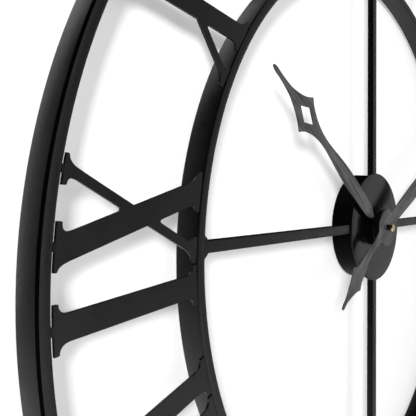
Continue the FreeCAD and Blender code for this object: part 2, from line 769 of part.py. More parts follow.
hour_plane = FRONT + size("hour_front")
minute_plane = FRONT + size("minute_front")
boss_front = hour_plane + size("hour_boss_thick")
collet_front = minute_plane + size("collet_length")
nut_front = collet_front + size("hand_nut_length")

solid_piece("minute_shaft", [rod(shaft, nut_front - 0.6, floor_back + shoulder),
                             rod(pivot, floor_back + 1, pivot_back),
                             toothed(CANNON[0], CANNON[1], wheel, MINUTE_LAYER, (0, 0))])

tube = size("tube_radius")
solid_piece("hour_wheel", [rod(tube, boss_front, HOUR_LAYER - wheel),
                           toothed(HOUR_WHEEL[0], HOUR_WHEEL[1], wheel, HOUR_LAYER, (0, 0))],
            [rod(shaft + fit, boss_front + 1, HOUR_LAYER - 2)])

solid_piece("minute_wheel", [rod(pivot, pivot_front, floor_front - 1.0, minute_wheel_at),
                             rod(0.8, floor_front - shoulder, MINUTE_LAYER - wheel, minute_wheel_at),
                             toothed(MINUTE_PINION[0], MINUTE_PINION[1], wheel + 0.3, HOUR_LAYER + 0.1,
                                     minute_wheel_at),
                             toothed(MINUTE_WHEEL[0], MINUTE_WHEEL[1], wheel, MINUTE_LAYER,
                                     minute_wheel_at)])

knob_front = case_back_y - 0.2
knob_back = knob_front - size("knob_thick")
solid_piece("setting_knob", [rod(pivot, pivot_front, floor_front - 1.0, setting_at),
                             rod(1.0, floor_front - shoulder, knob_back, setting_at),
                             toothed(SETTING_PINION[0], SETTING_PINION[1], wheel, MINUTE_LAYER,
                                     setting_at),
                             toothed(size("knob_radius"), 24, size("knob_thick"), knob_front,
                                     setting_at)])

# ---------------------------------------------------------------- hands
# Half-widths of each outline along its hand, as (distance from the axis, half-width).
# A corner ends one smooth run and starts the next.
HOUR_RUNS = [
    [(19.0, 1.6), (27.0, 6.0), (40.0, 7.9), (60.0, 8.5), (82.0, 8.7), (96.0, 8.3), (112.0, 6.9),
     (126.0, 5.3), (138.0, 4.5), (149.0, 4.9), (160.0, 7.2), (168.0, 10.3), (175.0, 14.2),
     (181.0, 19.6)],
    [(181.0, 19.6), (187.5, 14.3), (194.0, 10.4), (202.0, 7.0), (210.0, 4.4), (220.0, 2.9),
     (230.0, 2.3), (238.5, 1.8)],
]
HOUR_HOLE = [(166.7, 0.0), (180.2, 8.2), (192.7, 0.0), (180.2, -8.2)]
MINUTE_RUNS = [
    [(17.0, 7.0), (30.0, 7.6), (51.0, 8.6), (77.0, 9.3), (100.0, 9.6), (124.0, 9.3), (146.0, 8.2),
     (166.0, 6.8), (186.0, 5.3), (204.0, 4.6), (220.0, 5.0), (234.0, 7.4), (244.0, 11.0),
     (251.0, 15.0), (256.0, 19.0)],
    [(256.0, 19.0), (262.5, 14.0), (269.0, 10.2), (277.0, 6.8), (285.0, 4.3), (295.0, 2.9),
     (305.0, 2.3), (314.0, 1.8)],
]
MINUTE_HOLE = [(241.7, 0.0), (255.2, 8.2), (267.7, 0.0), (255.2, -8.2)]
TAIL_RUNS = [
    [(17.0, 6.4), (26.0, 5.0), (35.0, 4.9), (46.0, 5.6), (60.0, 6.9), (72.0, 8.2), (80.0, 9.0)],
    [(80.0, 9.0), (86.0, 12.9)],
    [(86.0, 12.9), (93.0, 9.3), (100.0, 6.8), (108.0, 4.5), (117.0, 2.3), (127.0, 1.4)],
]


def run_edges(runs, side, stretch, sense):
    """Smooth edges of one side of a hand, from its root to its tip."""
    edges = []
    for run in runs:
        points = [Vector(side * half_width, 0, sense * distance * stretch) for distance, half_width in run]
        if len(points) == 2:
            edges.append(Part.LineSegment(points[0], points[1]).toShape())
        else:
            curve = Part.BSplineCurve()
            curve.interpolate(points)
            edges.append(curve.toShape())
    return edges


def hand_blade(runs, length, thickness, hole=None, sense=1, tip_round=2.0):
    """Flat blade along Z (sense -1 for a tail), from y = 0 to y = -thickness."""
    reach = runs[-1][-1][0] + tip_round
    stretch = length / reach
    right = run_edges(runs, 1, stretch, sense)
    left = run_edges(runs, -1, stretch, sense)
    root_right = right[0].Vertexes[0].Point
    root_left = left[0].Vertexes[0].Point
    tip_right = right[-1].Vertexes[-1].Point
    tip_left = left[-1].Vertexes[-1].Point
    root = Part.LineSegment(root_left, root_right).toShape()
    nose = Part.Arc(tip_right, Vector(0, 0, sense * length), tip_left).toShape()
    wire = Part.Wire(Part.__sortEdges__([root] + right + [nose] + left))
    solid = Part.Face(wire).extrude(Vector(0, -thickness, 0))
    if hole:
        corners = [Vector(x, 1, z * stretch) for z, x in hole]
        opening = Part.Face(Part.makePolygon(corners + corners[:1]))
        solid = solid.cut(opening.extrude(Vector(0, -thickness - 2, 0)))
    return solid, stretch


def width_at(runs, distance):
    """Half-width of an outline by straight interpolation."""
    points = [point for run in runs for point in run]
    for (d0, w0), (d1, w1) in zip(points, points[1:]):
        if d0 <= distance <= d1 and d1 > d0:
            return w0 + (w1 - w0) * (distance - d0) / (d1 - d0)
    return points[-1][1]


def ridge(runs, start, stop, rise, face, stretch, sense=1, stations=9, lift=lambda distance: 0.0):
    """Roof-shaped rise along the middle of a blade, standing on its front face."""
    inset = 0.35
    sunk = 0.3
    rows = []
    for index in range(stations):
        share = index / (stations - 1)
        distance = start + (stop - start) * share
        half_width = max(width_at(runs, distance) - inset, 0.4)
        level = rise * min(1.0, 4.0 * share + 0.05, 2.2 * (1 - share) + 0.05)
        z = sense * distance * stretch
        front = -face - lift(z)
        rows.append((Vector(-half_width, front + sunk, z), Vector(-half_width, front, z),
                     Vector(0, front - level, z), Vector(half_width, front, z),
                     Vector(half_width, front + sunk, z)))
    faces = []
    for near, far in zip(rows, rows[1:]):
        for index in range(5):
            a, b = near[index], near[(index + 1) % 5]
            c, d = far[(index + 1) % 5], far[index]
            faces.append(Part.Face(Part.makePolygon([a, b, c, a])))
            faces.append(Part.Face(Part.makePolygon([a, c, d, a])))
    for row in (rows[0], rows[-1]):
        faces.append(Part.Face(Part.makePolygon(list(row) + [row[0]])))
    shell = Part.makeShell(faces)
    solid = Part.makeSolid(shell)
    if solid.Volume < 0:
        solid.reverse()
    return solid


def bow(distance):
    """How far the minute hand stands proud of its boss at a distance; the tail's is negative."""
    beyond = max(abs(distance) - size("bow_flat"), 0.0)
    if distance < 0:
        return size("tail_bow") * (beyond / (size("tail_length") - size("bow_flat"))) ** 2
    share = min(beyond / (size("bow_reach") - size("bow_flat")), 1.0)
    return size("minute_bow") * (1 - math.cos(math.pi * share)) / 2


def bowed_sheet(start, stop, thickness, half_width, stations=9):
    """Sheet with the minute hand's side profile, wider than the hand, from start to stop."""
    flat, reach = size("bow_flat"), size("bow_reach")
    marks = [start + (-flat - start) * index / (stations - 1) for index in range(stations)]
    marks += [flat + (reach - flat) * index / (stations - 1) for index in range(stations)]
    marks += [stop]
    profile = [Vector(-half_width, -bow(distance), distance) for distance in marks]
    face = [Vector(point.x, point.y - thickness, point.z) for point in reversed(profile)]
    outline = profile + face
    return Part.Face(Part.makePolygon(outline + outline[:1])).extrude(Vector(2 * half_width, 0, 0))


def hand_piece(label, shapes, hole_radius, plane, angle):
    """Fuse a hand's shapes, bore it and set it at its angle and distance from the wall."""
    shape = shapes[0].multiFuse(shapes[1:])
    shape = shape.cut(Part.makeCylinder(hole_radius, 12, Vector(0, 6, 0), Vector(0, -1, 0)))
    if len(shape.Solids) == 1:
        shape = shape.Solids[0]
    obj = doc.addObject("Part::Feature", label)
    obj.Shape = shape
    back = plane - size("hand_thick")
    obj.Placement = Placement(Vector(0, -back, 0), Rotation(Vector(0, 1, 0), angle))
    return keep(obj, label)


thick = size("hand_thick")
rise = size("ridge_rise")
blade, stretch = hand_blade(HOUR_RUNS, size("hour_length"), thick, HOUR_HOLE)
root_disc = Part.makeCylinder(size("hour_boss_radius") - 3.0, thick, Vector(0, 0, 0), Vector(0, -1, 0))
root_strip = Part.makeBox(3.2, thick, 14, Vector(-1.6, -thick, 8))
hour_ridge = ridge(HOUR_RUNS, 21.0, 128.0, rise, thick, stretch)
hand_piece("hour_hand", [blade, root_disc, root_strip, hour_ridge], tube, hour_plane,
           size("hour_angle"))

boss_back = "<wall_gap> + <ring_depth> + <hour_front>"
boss = cylinder("hour_boss_disc", "<hour_boss_radius>", "<hour_boss_thick>",
                "%s + <hour_boss_thick>" % boss_back)
boss_bore = cylinder("hour_boss_bore", "<tube_radius>", "<hour_boss_thick> + 2",
                     "%s + <hour_boss_thick> + 1" % boss_back)
keep(cut("hour_boss_turned", boss, boss_bore), "hour_boss")

deep = thick + size("minute_bow") + size("tail_bow") + 2.0
blade, stretch = hand_blade(MINUTE_RUNS, size("minute_length"), deep, MINUTE_HOLE)
tail, tail_stretch = hand_blade(TAIL_RUNS, size("tail_length"), deep, None, -1, 1.5)
minute_disc = Part.makeCylinder(size("boss_radius"), deep, Vector(0, 0, 0), Vector(0, -1, 0))
side_sheet = bowed_sheet(-size("tail_length") - 5, size("minute_length") + 5, thick, 40.0)
bowed = blade.multiFuse([tail, minute_disc]).common(side_sheet)
minute_ridge = ridge(MINUTE_RUNS, 20.0, 190.0, rise, thick, stretch, 1, 17, bow)
tail_ridge = ridge(TAIL_RUNS, 20.0, 82.0, rise * 0.8, thick, tail_stretch, -1, 11, bow)
hand_piece("minute_hand", [bowed, minute_ridge, tail_ridge], shaft, minute_plane,
           size("minute_angle"))

MINUTE_PLANE = "<wall_gap> + <ring_depth> + <minute_front>"
collet = cylinder("collet_blank", "<collet_radius>", "<collet_length>", "%s + <collet_length>" % MINUTE_PLANE)
collet_bore = cylinder("collet_bore", "<shaft_radius>", "<collet_length> + 2",
                       "%s + <collet_length> + 1" % MINUTE_PLANE)
keep(cut("collet_turned", collet, collet_bore), "minute_collet")

nut_body = Part.makeCylinder(size("hand_nut_radius"), size("hand_nut_length"),
                             Vector(0, -collet_front, 0), Vector(0, -1, 0))
nut_edges = [edge for edge in nut_body.Edges
             if abs(edge.BoundBox.YMin + nut_front) < 1e-6 and edge.BoundBox.YLength < 1e-6]
nut_body = nut_body.makeFillet(0.9, nut_edges)
nut_bore = Part.makeCylinder(shaft, size("hand_nut_length") - 0.6, Vector(0, -collet_front, 0),
                             Vector(0, -1, 0))
solid_piece("hand_nut", [nut_body], [nut_bore])

# ---------------------------------------------------------------- checks and export
doc.recompute()
faults = []
for obj in doc.Objects:
    states = [str(state) for state in obj.State]
    if "Invalid" in states or "Error" in states:
        faults.append("%s: %s" % (obj.Name, states))
labels = set()
for piece in pieces:
    shape = piece.Shape
    if shape.isNull() or not shape.isValid() or shape.Volume <= 0:
        faults.append("%s: bad shape" % piece.Label)
    if piece.Label in labels:
        faults.append("%s: label used twice" % piece.Label)
    labels.add(piece.Label)
if faults:
    raise SystemExit("\n".join(faults))

os.makedirs("parts", exist_ok=True)
for piece in pieces:
    piece.Shape.exportStep(os.path.join("parts", piece.Label + ".step"))
    print("%-22s solids %2d  volume %10.1f" % (piece.Label, len(piece.Shape.Solids), piece.Shape.Volume))
print(len(pieces), "pieces")
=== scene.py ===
# %% [markdown]
# # A large open-frame wall clock
# The clock is a welded metal frame: two rolled rings, twelve roman numerals cut from sheet, four
# bars and a round hub with two spade hands.  The engineering model is loaded first and never
# changed.  Each visible part is then drawn again as a smooth surface on the same measurements, and
# the pieces behind the hub keep their engineering meshes and get finishes of their own.

# %% Load the frame
import bpy
import bmesh
import math
import numpy as np
from mathutils import Matrix, Vector


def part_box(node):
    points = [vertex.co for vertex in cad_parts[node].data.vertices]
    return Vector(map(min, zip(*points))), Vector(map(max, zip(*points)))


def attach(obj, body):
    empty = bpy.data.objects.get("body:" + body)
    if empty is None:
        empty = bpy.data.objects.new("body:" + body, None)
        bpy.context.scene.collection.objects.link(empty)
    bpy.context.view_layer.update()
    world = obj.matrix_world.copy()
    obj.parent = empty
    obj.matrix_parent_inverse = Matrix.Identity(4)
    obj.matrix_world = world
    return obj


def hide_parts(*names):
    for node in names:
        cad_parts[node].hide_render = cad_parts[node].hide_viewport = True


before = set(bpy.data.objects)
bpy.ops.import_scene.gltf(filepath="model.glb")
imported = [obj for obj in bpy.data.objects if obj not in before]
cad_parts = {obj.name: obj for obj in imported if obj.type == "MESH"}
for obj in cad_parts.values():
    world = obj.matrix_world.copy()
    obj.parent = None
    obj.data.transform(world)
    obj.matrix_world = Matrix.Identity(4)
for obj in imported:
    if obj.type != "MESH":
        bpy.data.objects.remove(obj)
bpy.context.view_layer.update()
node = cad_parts

# %% [markdown]
# Most sizes come from the boxes of the engineering pieces, so the drawn pieces and the measured
# ones agree.  Only what a box can't tell is written here: the tubes' sections, the planes that the
# hands' front faces lie in, and the clock angles, in degrees after twelve, that they are set to.

# %% Sizes
def extent(name):
    """Lowest and highest corner of an engineering piece as two arrays, in metres."""
    low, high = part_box(name)
    return np.array(low), np.array(high)


ring_low, ring_high = extent("outer_ring")
OUTER_RADIUS = ring_high[0]
RING_FRONT = -ring_low[1]
RING_BACK = -ring_high[1]
OUTER_WIDTH = 0.0094
INNER_RADIUS = extent("inner_ring")[1][0]
INNER_WIDTH = 0.0082
TUBE_CORNER = 0.0017
TUBE_CROWN = 0.00045
spoke_low, spoke_high = extent("spoke_top")
disc_low, disc_high = extent("hub_disc")
drum_low, drum_high = extent("hub_drum")
DISC_RADIUS = disc_high[2]
DRUM_RADIUS = drum_high[2]
HAND_SHEET = 0.001
HOUR_PLANE = RING_FRONT + 0.0054
MINUTE_PLANE = RING_FRONT + 0.0134
HOUR_ANGLE = 305.0
MINUTE_ANGLE = 60.0
print("rings %.1f and %.1f mm, front plane %.1f mm from the wall"
      % (1000 * OUTER_RADIUS, 1000 * INNER_RADIUS, 1000 * RING_FRONT))

# %% [markdown]
# A surface here is a grid of points: one direction runs along a profile, the other along a path.
# Four neighbours make one face.  Grids that share an edge are merged where they touch, so a piece
# made from several grids becomes one closed skin.  Flat ends are single many-sided faces.

# %% Grids to meshes
def grid_faces(rows, columns, close_rows, close_columns, first):
    """Corner numbers of the faces of a grid: (i, j), (i, j+1), (i+1, j+1), (i+1, j)."""
    i = np.arange(rows if close_rows else rows - 1)
    j = np.arange(columns if close_columns else columns - 1)
    i, j = np.meshgrid(i, j, indexing="ij")
    i2, j2 = (i + 1) % rows, (j + 1) % columns
    corners = np.stack([i * columns + j, i * columns + j2,
                        i2 * columns + j2, i2 * columns + j], -1)
    return (corners.reshape(-1, 4) + first).tolist()


def make_piece(name, grids, body, replaces, sharp=32.0):
    """Mesh object from grids.  Each grid is (points[rows, columns, 3], close_rows, close_columns)
    or a loop of points for one flat many-sided face.  Points closer than two thousandths of a
    millimetre are merged, and edges that turn by more than sharp degrees stay sharp."""
    points, faces, count = [], [], 0
    for item in grids:
        if isinstance(item, tuple):
            surface, close_rows, close_columns = item
            rows, columns = surface.shape[:2]
            faces += grid_faces(rows, columns, close_rows, close_columns, count)
            points.append(surface.reshape(-1, 3))
            count += rows * columns
        else:
            loop = np.asarray(item).reshape(-1, 3)
            faces.append(list(range(count, count + len(loop))))
            points.append(loop)
            count += len(loop)
    mesh = bpy.data.meshes.new(name)
    mesh.from_pydata(np.concatenate(points), [], faces)
    work = bmesh.new()
    work.from_mesh(mesh)
    bmesh.ops.remove_doubles(work, verts=work.verts, dist=2e-6)
    bmesh.ops.dissolve_degenerate(work, edges=work.edges, dist=1e-7)
    bmesh.ops.recalc_face_normals(work, faces=work.faces)
    work.to_mesh(mesh)
    work.free()
    mesh.polygons.foreach_set("use_smooth", np.ones(len(mesh.polygons), dtype=bool))
    mesh.set_sharp_from_angle(angle=math.radians(sharp))
    piece = bpy.data.objects.new(name, mesh)
    bpy.context.scene.collection.objects.link(piece)
    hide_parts(*replaces)
    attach(piece, body)
    print("%-18s %6d faces" % (name, len(mesh.polygons)))
    return piece


# %% [markdown]
# Three shapes of curve come back all over the clock: a profile turned about the hand axis, a small
# round corner, and points moved to their place on the dial.  They are written once here.

# %% Curves of the clock
def turned(profile, steps):
    """Surface of revolution about Y: radius and depth pairs carried round a circle in X and Z."""
    profile = np.asarray(profile)
    turn = np.linspace(0, 2 * np.pi, steps, endpoint=False)[:, None]
    radius, depth = profile[None, :, 0], profile[None, :, 1]
    return np.stack([radius * np.sin(turn), depth + 0 * turn, radius * np.cos(turn)], -1)


def round_corner(centre, radius, start, stop, steps=5):
    """Points of an arc from one angle to another, in degrees: centre plus radius times cosine and
    sine."""
    turn = np.radians(np.linspace(start, stop, steps))
    return np.stack([centre[0] + radius * np.cos(turn), centre[1] + radius * np.sin(turn)], -1)


def clock_turn(points, degrees):
    """Turn points about the hand axis, clockwise for the reader: x and z mix by sine and
    cosine."""
    angle = math.radians(degrees)
    cosine, sine = math.cos(angle), math.sin(angle)
    x, y, z = points[..., 0], points[..., 1], points[..., 2]
    return np.stack([x * cosine + z * sine, y, -x * sine + z * cosine], -1)


# %% [markdown]
# ## The two rings
# Each ring is a rectangular tube rolled into a circle.  A bevelled circle curve could draw it, but
# a section carried round the circle gives the whole ring in one grid, with round corners where the
# real tube has them and a front face that is very slightly crowned by the rolling.

# %% Rings
def ring_section(outer, width, front, back, corner):
    """Rounded rectangle in radius and depth, as a closed loop.  Rolling leaves the front face a
    little crowned: it falls by TUBE_CROWN towards its edges, as a parabola."""
    inner = outer - width
    low, high = -front + corner, -back - corner
    section = np.concatenate([
        round_corner((outer - corner, high), corner, 0, 90),
        round_corner((inner + corner, high), corner, 90, 180),
        round_corner((inner + corner, low), corner, 180, 270),
        np.stack([np.linspace(inner + corner, outer - corner, 9), np.full(9, -front)],
                 -1)[1:-1],
        round_corner((outer - corner, low), corner, 270, 360)])
    middle = inner + width / 2
    near = np.clip((-section[:, 1] - back) / (front - back), 0, 1) ** 4
    section[:, 1] += TUBE_CROWN * near * ((section[:, 0] - middle) / (width / 2)) ** 2
    return section


def ring_piece(name, outer, width, steps):
    """The section carried round the hand axis in so many steps."""
    section = ring_section(outer, width, RING_FRONT, RING_BACK, TUBE_CORNER)
    return make_piece(name + "_tube", [(turned(section, steps), True, True)], "frame", [name])


outer_ring = ring_piece("outer_ring", OUTER_RADIUS, OUTER_WIDTH, 720)
inner_ring = ring_piece("inner_ring", INNER_RADIUS, INNER_WIDTH, 540)

# %% [markdown]
# ## Bars
# The four bars are solid rectangles with slightly broken edges.  The section is the same kind of
# rounded rectangle as the rings', carried along a straight line instead of a circle.

# %% Spokes
BAR_CORNER = 0.0005
BAR_INTO_DRUM, BAR_INTO_RING = 0.0004, 0.0003


def bar_piece(name, degrees):
    """Rounded rectangle in x and y carried from the hub to the inner ring along z.  Its ends go a
    little way into the drum and the ring, so that no gap shows at the curved walls."""
    right = spoke_high[0] - BAR_CORNER
    back, front = spoke_high[1] - BAR_CORNER, spoke_low[1] + BAR_CORNER
    section = np.concatenate([
        round_corner((right, back), BAR_CORNER, 0, 90, 4),
        round_corner((-right, back), BAR_CORNER, 90, 180, 4),
        round_corner((-right, front), BAR_CORNER, 180, 270, 4),
        round_corner((right, front), BAR_CORNER, 270, 360, 4)])
    along = np.linspace(spoke_low[2] - BAR_INTO_DRUM, spoke_high[2] + BAR_INTO_RING, 40)[:, None]
    surface = np.stack([section[None, :, 0] + 0 * along, section[None, :, 1] + 0 * along,
                        along + 0 * section[None, :, 0]], -1)
    surface = clock_turn(surface, degrees)
    return make_piece(name + "_bar", [(surface, False, True), surface[0][::-1], surface[-1]],
                      "frame", [name])


spokes = [bar_piece("spoke_top", 0), bar_piece("spoke_right", 90), bar_piece("spoke_bottom", 180),
          bar_piece("spoke_left", 270)]

# %% [markdown]
# ## Numerals
# A numeral is cut from two-millimetre sheet.  Its outline is drawn in a frame of its own: u runs
# across the letter and v along the radius.  Serifs are square to the radius, their inner corners
# are concave curves and their outer edges follow the rings.  The sheet's edge has a tiny round,
# made by carrying a short profile along the outline.

# %% Letter outlines
BAND_IN = INNER_RADIUS + 0.00002
BAND_OUT = OUTER_RADIUS - OUTER_WIDTH - 0.0012
BAND_MID = (BAND_IN + BAND_OUT) / 2
LETTER_REACH = (BAND_OUT - BAND_IN + 0.0016) / 2
SERIF_DEPTH = 0.0036 + 0.0008
SERIF_CORNER = 0.75 * SERIF_DEPTH
SERIF_FLAT = 0.0003
FILLET = 0.0075
STROKE = 0.0155
THIN = 0.0062
SERIF = 0.0274
THIN_SERIF = 0.0176
SHEET_FRONT = -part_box("numeral_09_i")[0][1]
SHEET_BACK = -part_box("numeral_09_i")[1][1]


def fillet_curve(start, corner, end, steps=10):
    """Quadratic curve that leaves start towards corner and arrives at end."""
    t = np.linspace(0, 1, steps)[:, None]
    return (1 - t) ** 2 * start + 2 * t * (1 - t) * corner + t ** 2 * end


def serif_side(side, centre, serif, corner, foot, tip_v):
    """One side of a serif, from its outer corner in to the stroke: a short straight step, then a
    concave curve from FILLET beside the stroke to its foot.  side is -1 on the left, 1 right."""
    tip_u = centre + side * serif / 2
    start_u = corner[0] + side * FILLET
    if side < 0:
        start_u = max(start_u, tip_u + SERIF_FLAT)
    else:
        start_u = min(start_u, tip_u - SERIF_FLAT)
    curve = fillet_curve(np.array([start_u, corner[1]]), corner, foot)
    return np.concatenate([[[tip_u, tip_v]], curve])


def stroke_end(lean, half, serif, sign, shift=0.0):
    """One end of a stroke: left foot, serif, right foot.  The stroke's middle line is
    u = v * tan(lean); sign +1 is the outer end.  Left and right are as seen looking outwards."""
    slope = math.tan(math.radians(lean))
    edge = sign * LETTER_REACH
    root = sign * (LETTER_REACH - SERIF_DEPTH)
    foot = root - sign * FILLET
    centre = edge * slope + shift
    left, right = (serif_side(side, centre, serif, np.array([root * slope + side * half, root]),
                              np.array([foot * slope + side * half, foot]),
                              edge - sign * SERIF_CORNER) for side in (-1, 1))
    u = np.linspace(centre - serif / 2, centre + serif / 2, 13)
    radius = BAND_OUT if sign > 0 else BAND_IN
    arc = np.sqrt(radius ** 2 - u ** 2) - BAND_MID
    rim = np.minimum(arc, edge) if sign > 0 else np.maximum(arc, edge)
    return np.concatenate([left[::-1], np.stack([u, rim], -1), right])


def line_cross(a, b, c, d):
    """Point where the line through a and b meets the line through c and d."""
    r, s = b - a, d - c
    t = ((c[0] - a[0]) * s[1] - (c[1] - a[1]) * s[0]) / (r[0] * s[1] - r[1] * s[0])
    return (a + t * r)[None]


def outline_i():
    """Outer end, then inner end: the straight sides are the edges between them."""
    outer = stroke_end(0, STROKE / 2, SERIF, 1)
    inner = stroke_end(0, STROKE / 2, SERIF, -1)
    return np.concatenate([outer, inner[::-1]])


# %% [markdown]
# The crossed letter needs more care.  Its two strokes lean by unequal angles and cross a little off
# the middle, and its two sharp crotches are rounded, as a cutting tool leaves them.

# %% Crossed strokes
def crotch(corner, before, after, reach=0.0045):
    """Round the corner between two edges, from reach before it to reach after it."""
    one = corner[0] + reach * (before - corner[0]) / np.linalg.norm(before - corner[0])
    two = corner[0] + reach * (after - corner[0]) / np.linalg.norm(after - corner[0])
    return fillet_curve(one, corner[0], two, 8)


def outline_x():
    """Four arms joined where the edges of the thick and the thin stroke cross."""
    lean, thin_lean = 20.15, 22.8
    thick = STROKE / 2 / math.cos(math.radians(lean))
    thin = THIN / 2 / math.cos(math.radians(thin_lean))
    move_thick, move_thin = np.array([-0.00225, 0.0]), np.array([0.0007, 0.0])
    a = stroke_end(-lean, thick, SERIF, 1, 0.0035) + move_thick
    b = stroke_end(thin_lean, thin, THIN_SERIF, 1, -0.0022) + move_thin
    c = stroke_end(-lean, thick, SERIF, -1, -0.0015)[::-1] + move_thick
    d = stroke_end(thin_lean, thin, THIN_SERIF, -1, 0.0012)[::-1] + move_thin
    top = line_cross(a[-1], c[0], b[0], d[-1])
    right = line_cross(b[-1], d[0], c[0], a[-1])
    bottom = line_cross(c[-1], a[0], d[0], b[-1])
    left = line_cross(d[-1], b[0], a[0], c[-1])
    return np.concatenate([a, crotch(top, a[-1], b[0]), b, right, c,
                           crotch(bottom, c[-1], d[0]), d, left])


# %% [markdown]
# The V is half an X: a thick and a thin arm lean towards each other and share a flat foot on the
# inner ring.

# %% Arms that meet
def outline_v(lean=10.2):
    """Thick stroke on the reader's left and thin on the right, meeting at the inner ring."""
    total = 2 * LETTER_REACH
    reach = total * math.tan(math.radians(lean)) / 2 + 0.003
    arms = []
    for sign, width, serif in ((-1, STROKE, SERIF), (1, THIN, THIN_SERIF)):
        half = width / 2 / math.cos(math.radians(lean))
        slope = sign * reach / total
        root = LETTER_REACH - SERIF_DEPTH
        foot = root - FILLET
        centre = sign * reach
        left, right = (serif_side(
            side, centre, serif, np.array([(root + LETTER_REACH) * slope + side * half, root]),
            np.array([(foot + LETTER_REACH) * slope + side * half, foot]),
            LETTER_REACH - SERIF_CORNER) for side in (-1, 1))
        u = np.linspace(centre - serif / 2, centre + serif / 2, 13)
        rim = np.minimum(np.sqrt(BAND_OUT ** 2 - u ** 2) - BAND_MID, LETTER_REACH)
        foot_points = [np.array([side * half, -LETTER_REACH]) for side in (-1, 1)]
        arms.append((np.concatenate([left[::-1], np.stack([u, rim], -1), right]), foot_points))
    (thick, thick_foot), (thin, thin_foot) = arms
    notch = line_cross(thick[-1], thick_foot[1], thin[0], thin_foot[0])
    heel = line_cross(thin[-1], thin_foot[1], thick[-1], thick_foot[1])
    base = np.stack([[thick_foot[1][0], thick_foot[0][0]], [-LETTER_REACH, -LETTER_REACH]], -1)
    return np.concatenate([thick, notch, thin, heel, base])


OUTLINES = {"I": outline_i(), "X": outline_x(), "V": outline_v()}
print("outline points:", {letter: len(points) for letter, points in OUTLINES.items()})

# %% [markdown]
# The letters stand at angles round the dial.  A letter's skin is its outline carried through four
# depths, with the first and last a little inside the outline, plus a flat face on each side.

# %% Cut letters
EDGE_ROUND = 0.00018


def inset(loop, distance):
    """Move a closed outline inwards: each point goes along the mean of its two edge normals."""
    before, after = loop - np.roll(loop, 1, 0), np.roll(loop, -1, 0) - loop
    before /= np.linalg.norm(before, axis=1)[:, None] + 1e-12
    after /= np.linalg.norm(after, axis=1)[:, None] + 1e-12
    normal = np.stack([before[:, 1] + after[:, 1], -before[:, 0] - after[:, 0]], -1)
    length = np.linalg.norm(normal, axis=1)[:, None]
    normal /= np.maximum(length, 1e-9)
    stretch = 1 / np.maximum(length / 2, 0.5)
    ahead = np.roll(loop, -1, 0)
    area = 0.5 * np.sum(loop[:, 0] * ahead[:, 1] - loop[:, 1] * ahead[:, 0])
    return loop - math.copysign(1.0, area) * distance * normal * stretch


def sheet_grids(loop, degrees):
    """Skin of one cut letter at a clock angle: the edge's profile, as inset and depth, carried
    along the outline, and two flat faces."""
    profile = [(EDGE_ROUND, SHEET_BACK), (0.0, SHEET_BACK + EDGE_ROUND),
               (0.0, SHEET_FRONT - EDGE_ROUND), (EDGE_ROUND, SHEET_FRONT)]
    rings = []
    for distance, depth in profile:
        moved = inset(loop, distance)
        rings.append(np.stack([moved[:, 0], np.full(len(moved), -depth),
                               moved[:, 1] + BAND_MID], -1))
    surface = clock_turn(np.stack(rings), degrees)
    return [(surface, False, True), surface[0][::-1], surface[-1]]


# %% [markdown]
# Each numeral's strokes stand a few degrees apart.  Strokes of one kind in one numeral make one
# piece, as they do in the engineering model.

# %% Set the dial
OFFSETS = {
    "I": [0.0], "II": [-3.0, 3.0], "III": [-6.0, 0.0, 6.0], "IIII": [-9.0, -3.0, 3.0, 9.0],
    "V": [0.0], "VI": [-3.9, 4.9], "VII": [-6.9, 1.9, 7.9], "VIII": [-9.1, -0.3, 5.7, 11.7],
    "IX": [-5.05, 4.35], "X": [0.4], "XI": [-4.5, 5.2], "XII": [-7.5, 2.2, 8.2],
}
HOURS = ["I", "II", "III", "IIII", "V", "VI", "VII", "VIII", "IX", "X", "XI", "XII"]
letters = []
for hour, word in enumerate(HOURS, start=1):
    for letter in sorted(set(word)):
        grids = []
        for mark, offset in zip(word, OFFSETS[word]):
            if mark == letter:
                grids += sheet_grids(OUTLINES[letter], 30.0 * hour + offset)
        label = "numeral_%02d_%s" % (hour, letter.lower())
        letters.append(make_piece(label + "_sheet", grids, "frame", [label], sharp=40.0))

# %% [markdown]
# ## Hub
# The hub is a short rolled drum closed by a turned disc.  Both are profiles carried round the hand
# axis: a radius and a depth for every point from the middle out.

# %% Drum and disc
drum_front, drum_back = drum_low[1], drum_high[1]
drum_inner = DRUM_RADIUS - 0.0016
small = 0.0003
axle_hole = 0.00405
drum_profile = [(DRUM_RADIUS, drum_front), (DRUM_RADIUS, drum_back - small),
                (DRUM_RADIUS - small, drum_back), (drum_inner + small, drum_back),
                (drum_inner, drum_back - small), (drum_inner, drum_front)]
drum = make_piece("hub_drum_wall", [(turned(drum_profile, 256), True, True)], "frame",
                  ["hub_drum"])

disc_front, disc_back = disc_low[1], disc_high[1]
rim = 0.0005
disc_profile = np.concatenate([
    [(axle_hole, disc_back), (DISC_RADIUS - 0.0002, disc_back), (DISC_RADIUS, disc_back - 0.0002)],
    round_corner((DISC_RADIUS - rim, disc_front + rim), rim, 0, -90),
    [(DISC_RADIUS * 0.8, disc_front), (DISC_RADIUS * 0.5, disc_front), (axle_hole, disc_front)]])
disc = make_piece("hub_disc_face", [(turned(disc_profile, 256), True, True)], "frame",
                  ["hub_disc"])

# %% [markdown]
# ## Hands A hand is pressed from thin sheet.  Its half-width changes along its length, a diamond is
# cut from its spade, and a shallow ridge runs down the blade so that its two slopes catch the
# light differently.  The skin has a left and a right strip, each from the middle line (or the
# diamond's edge) out to the side, and the ridge is a height that falls off straight from the
# middle.

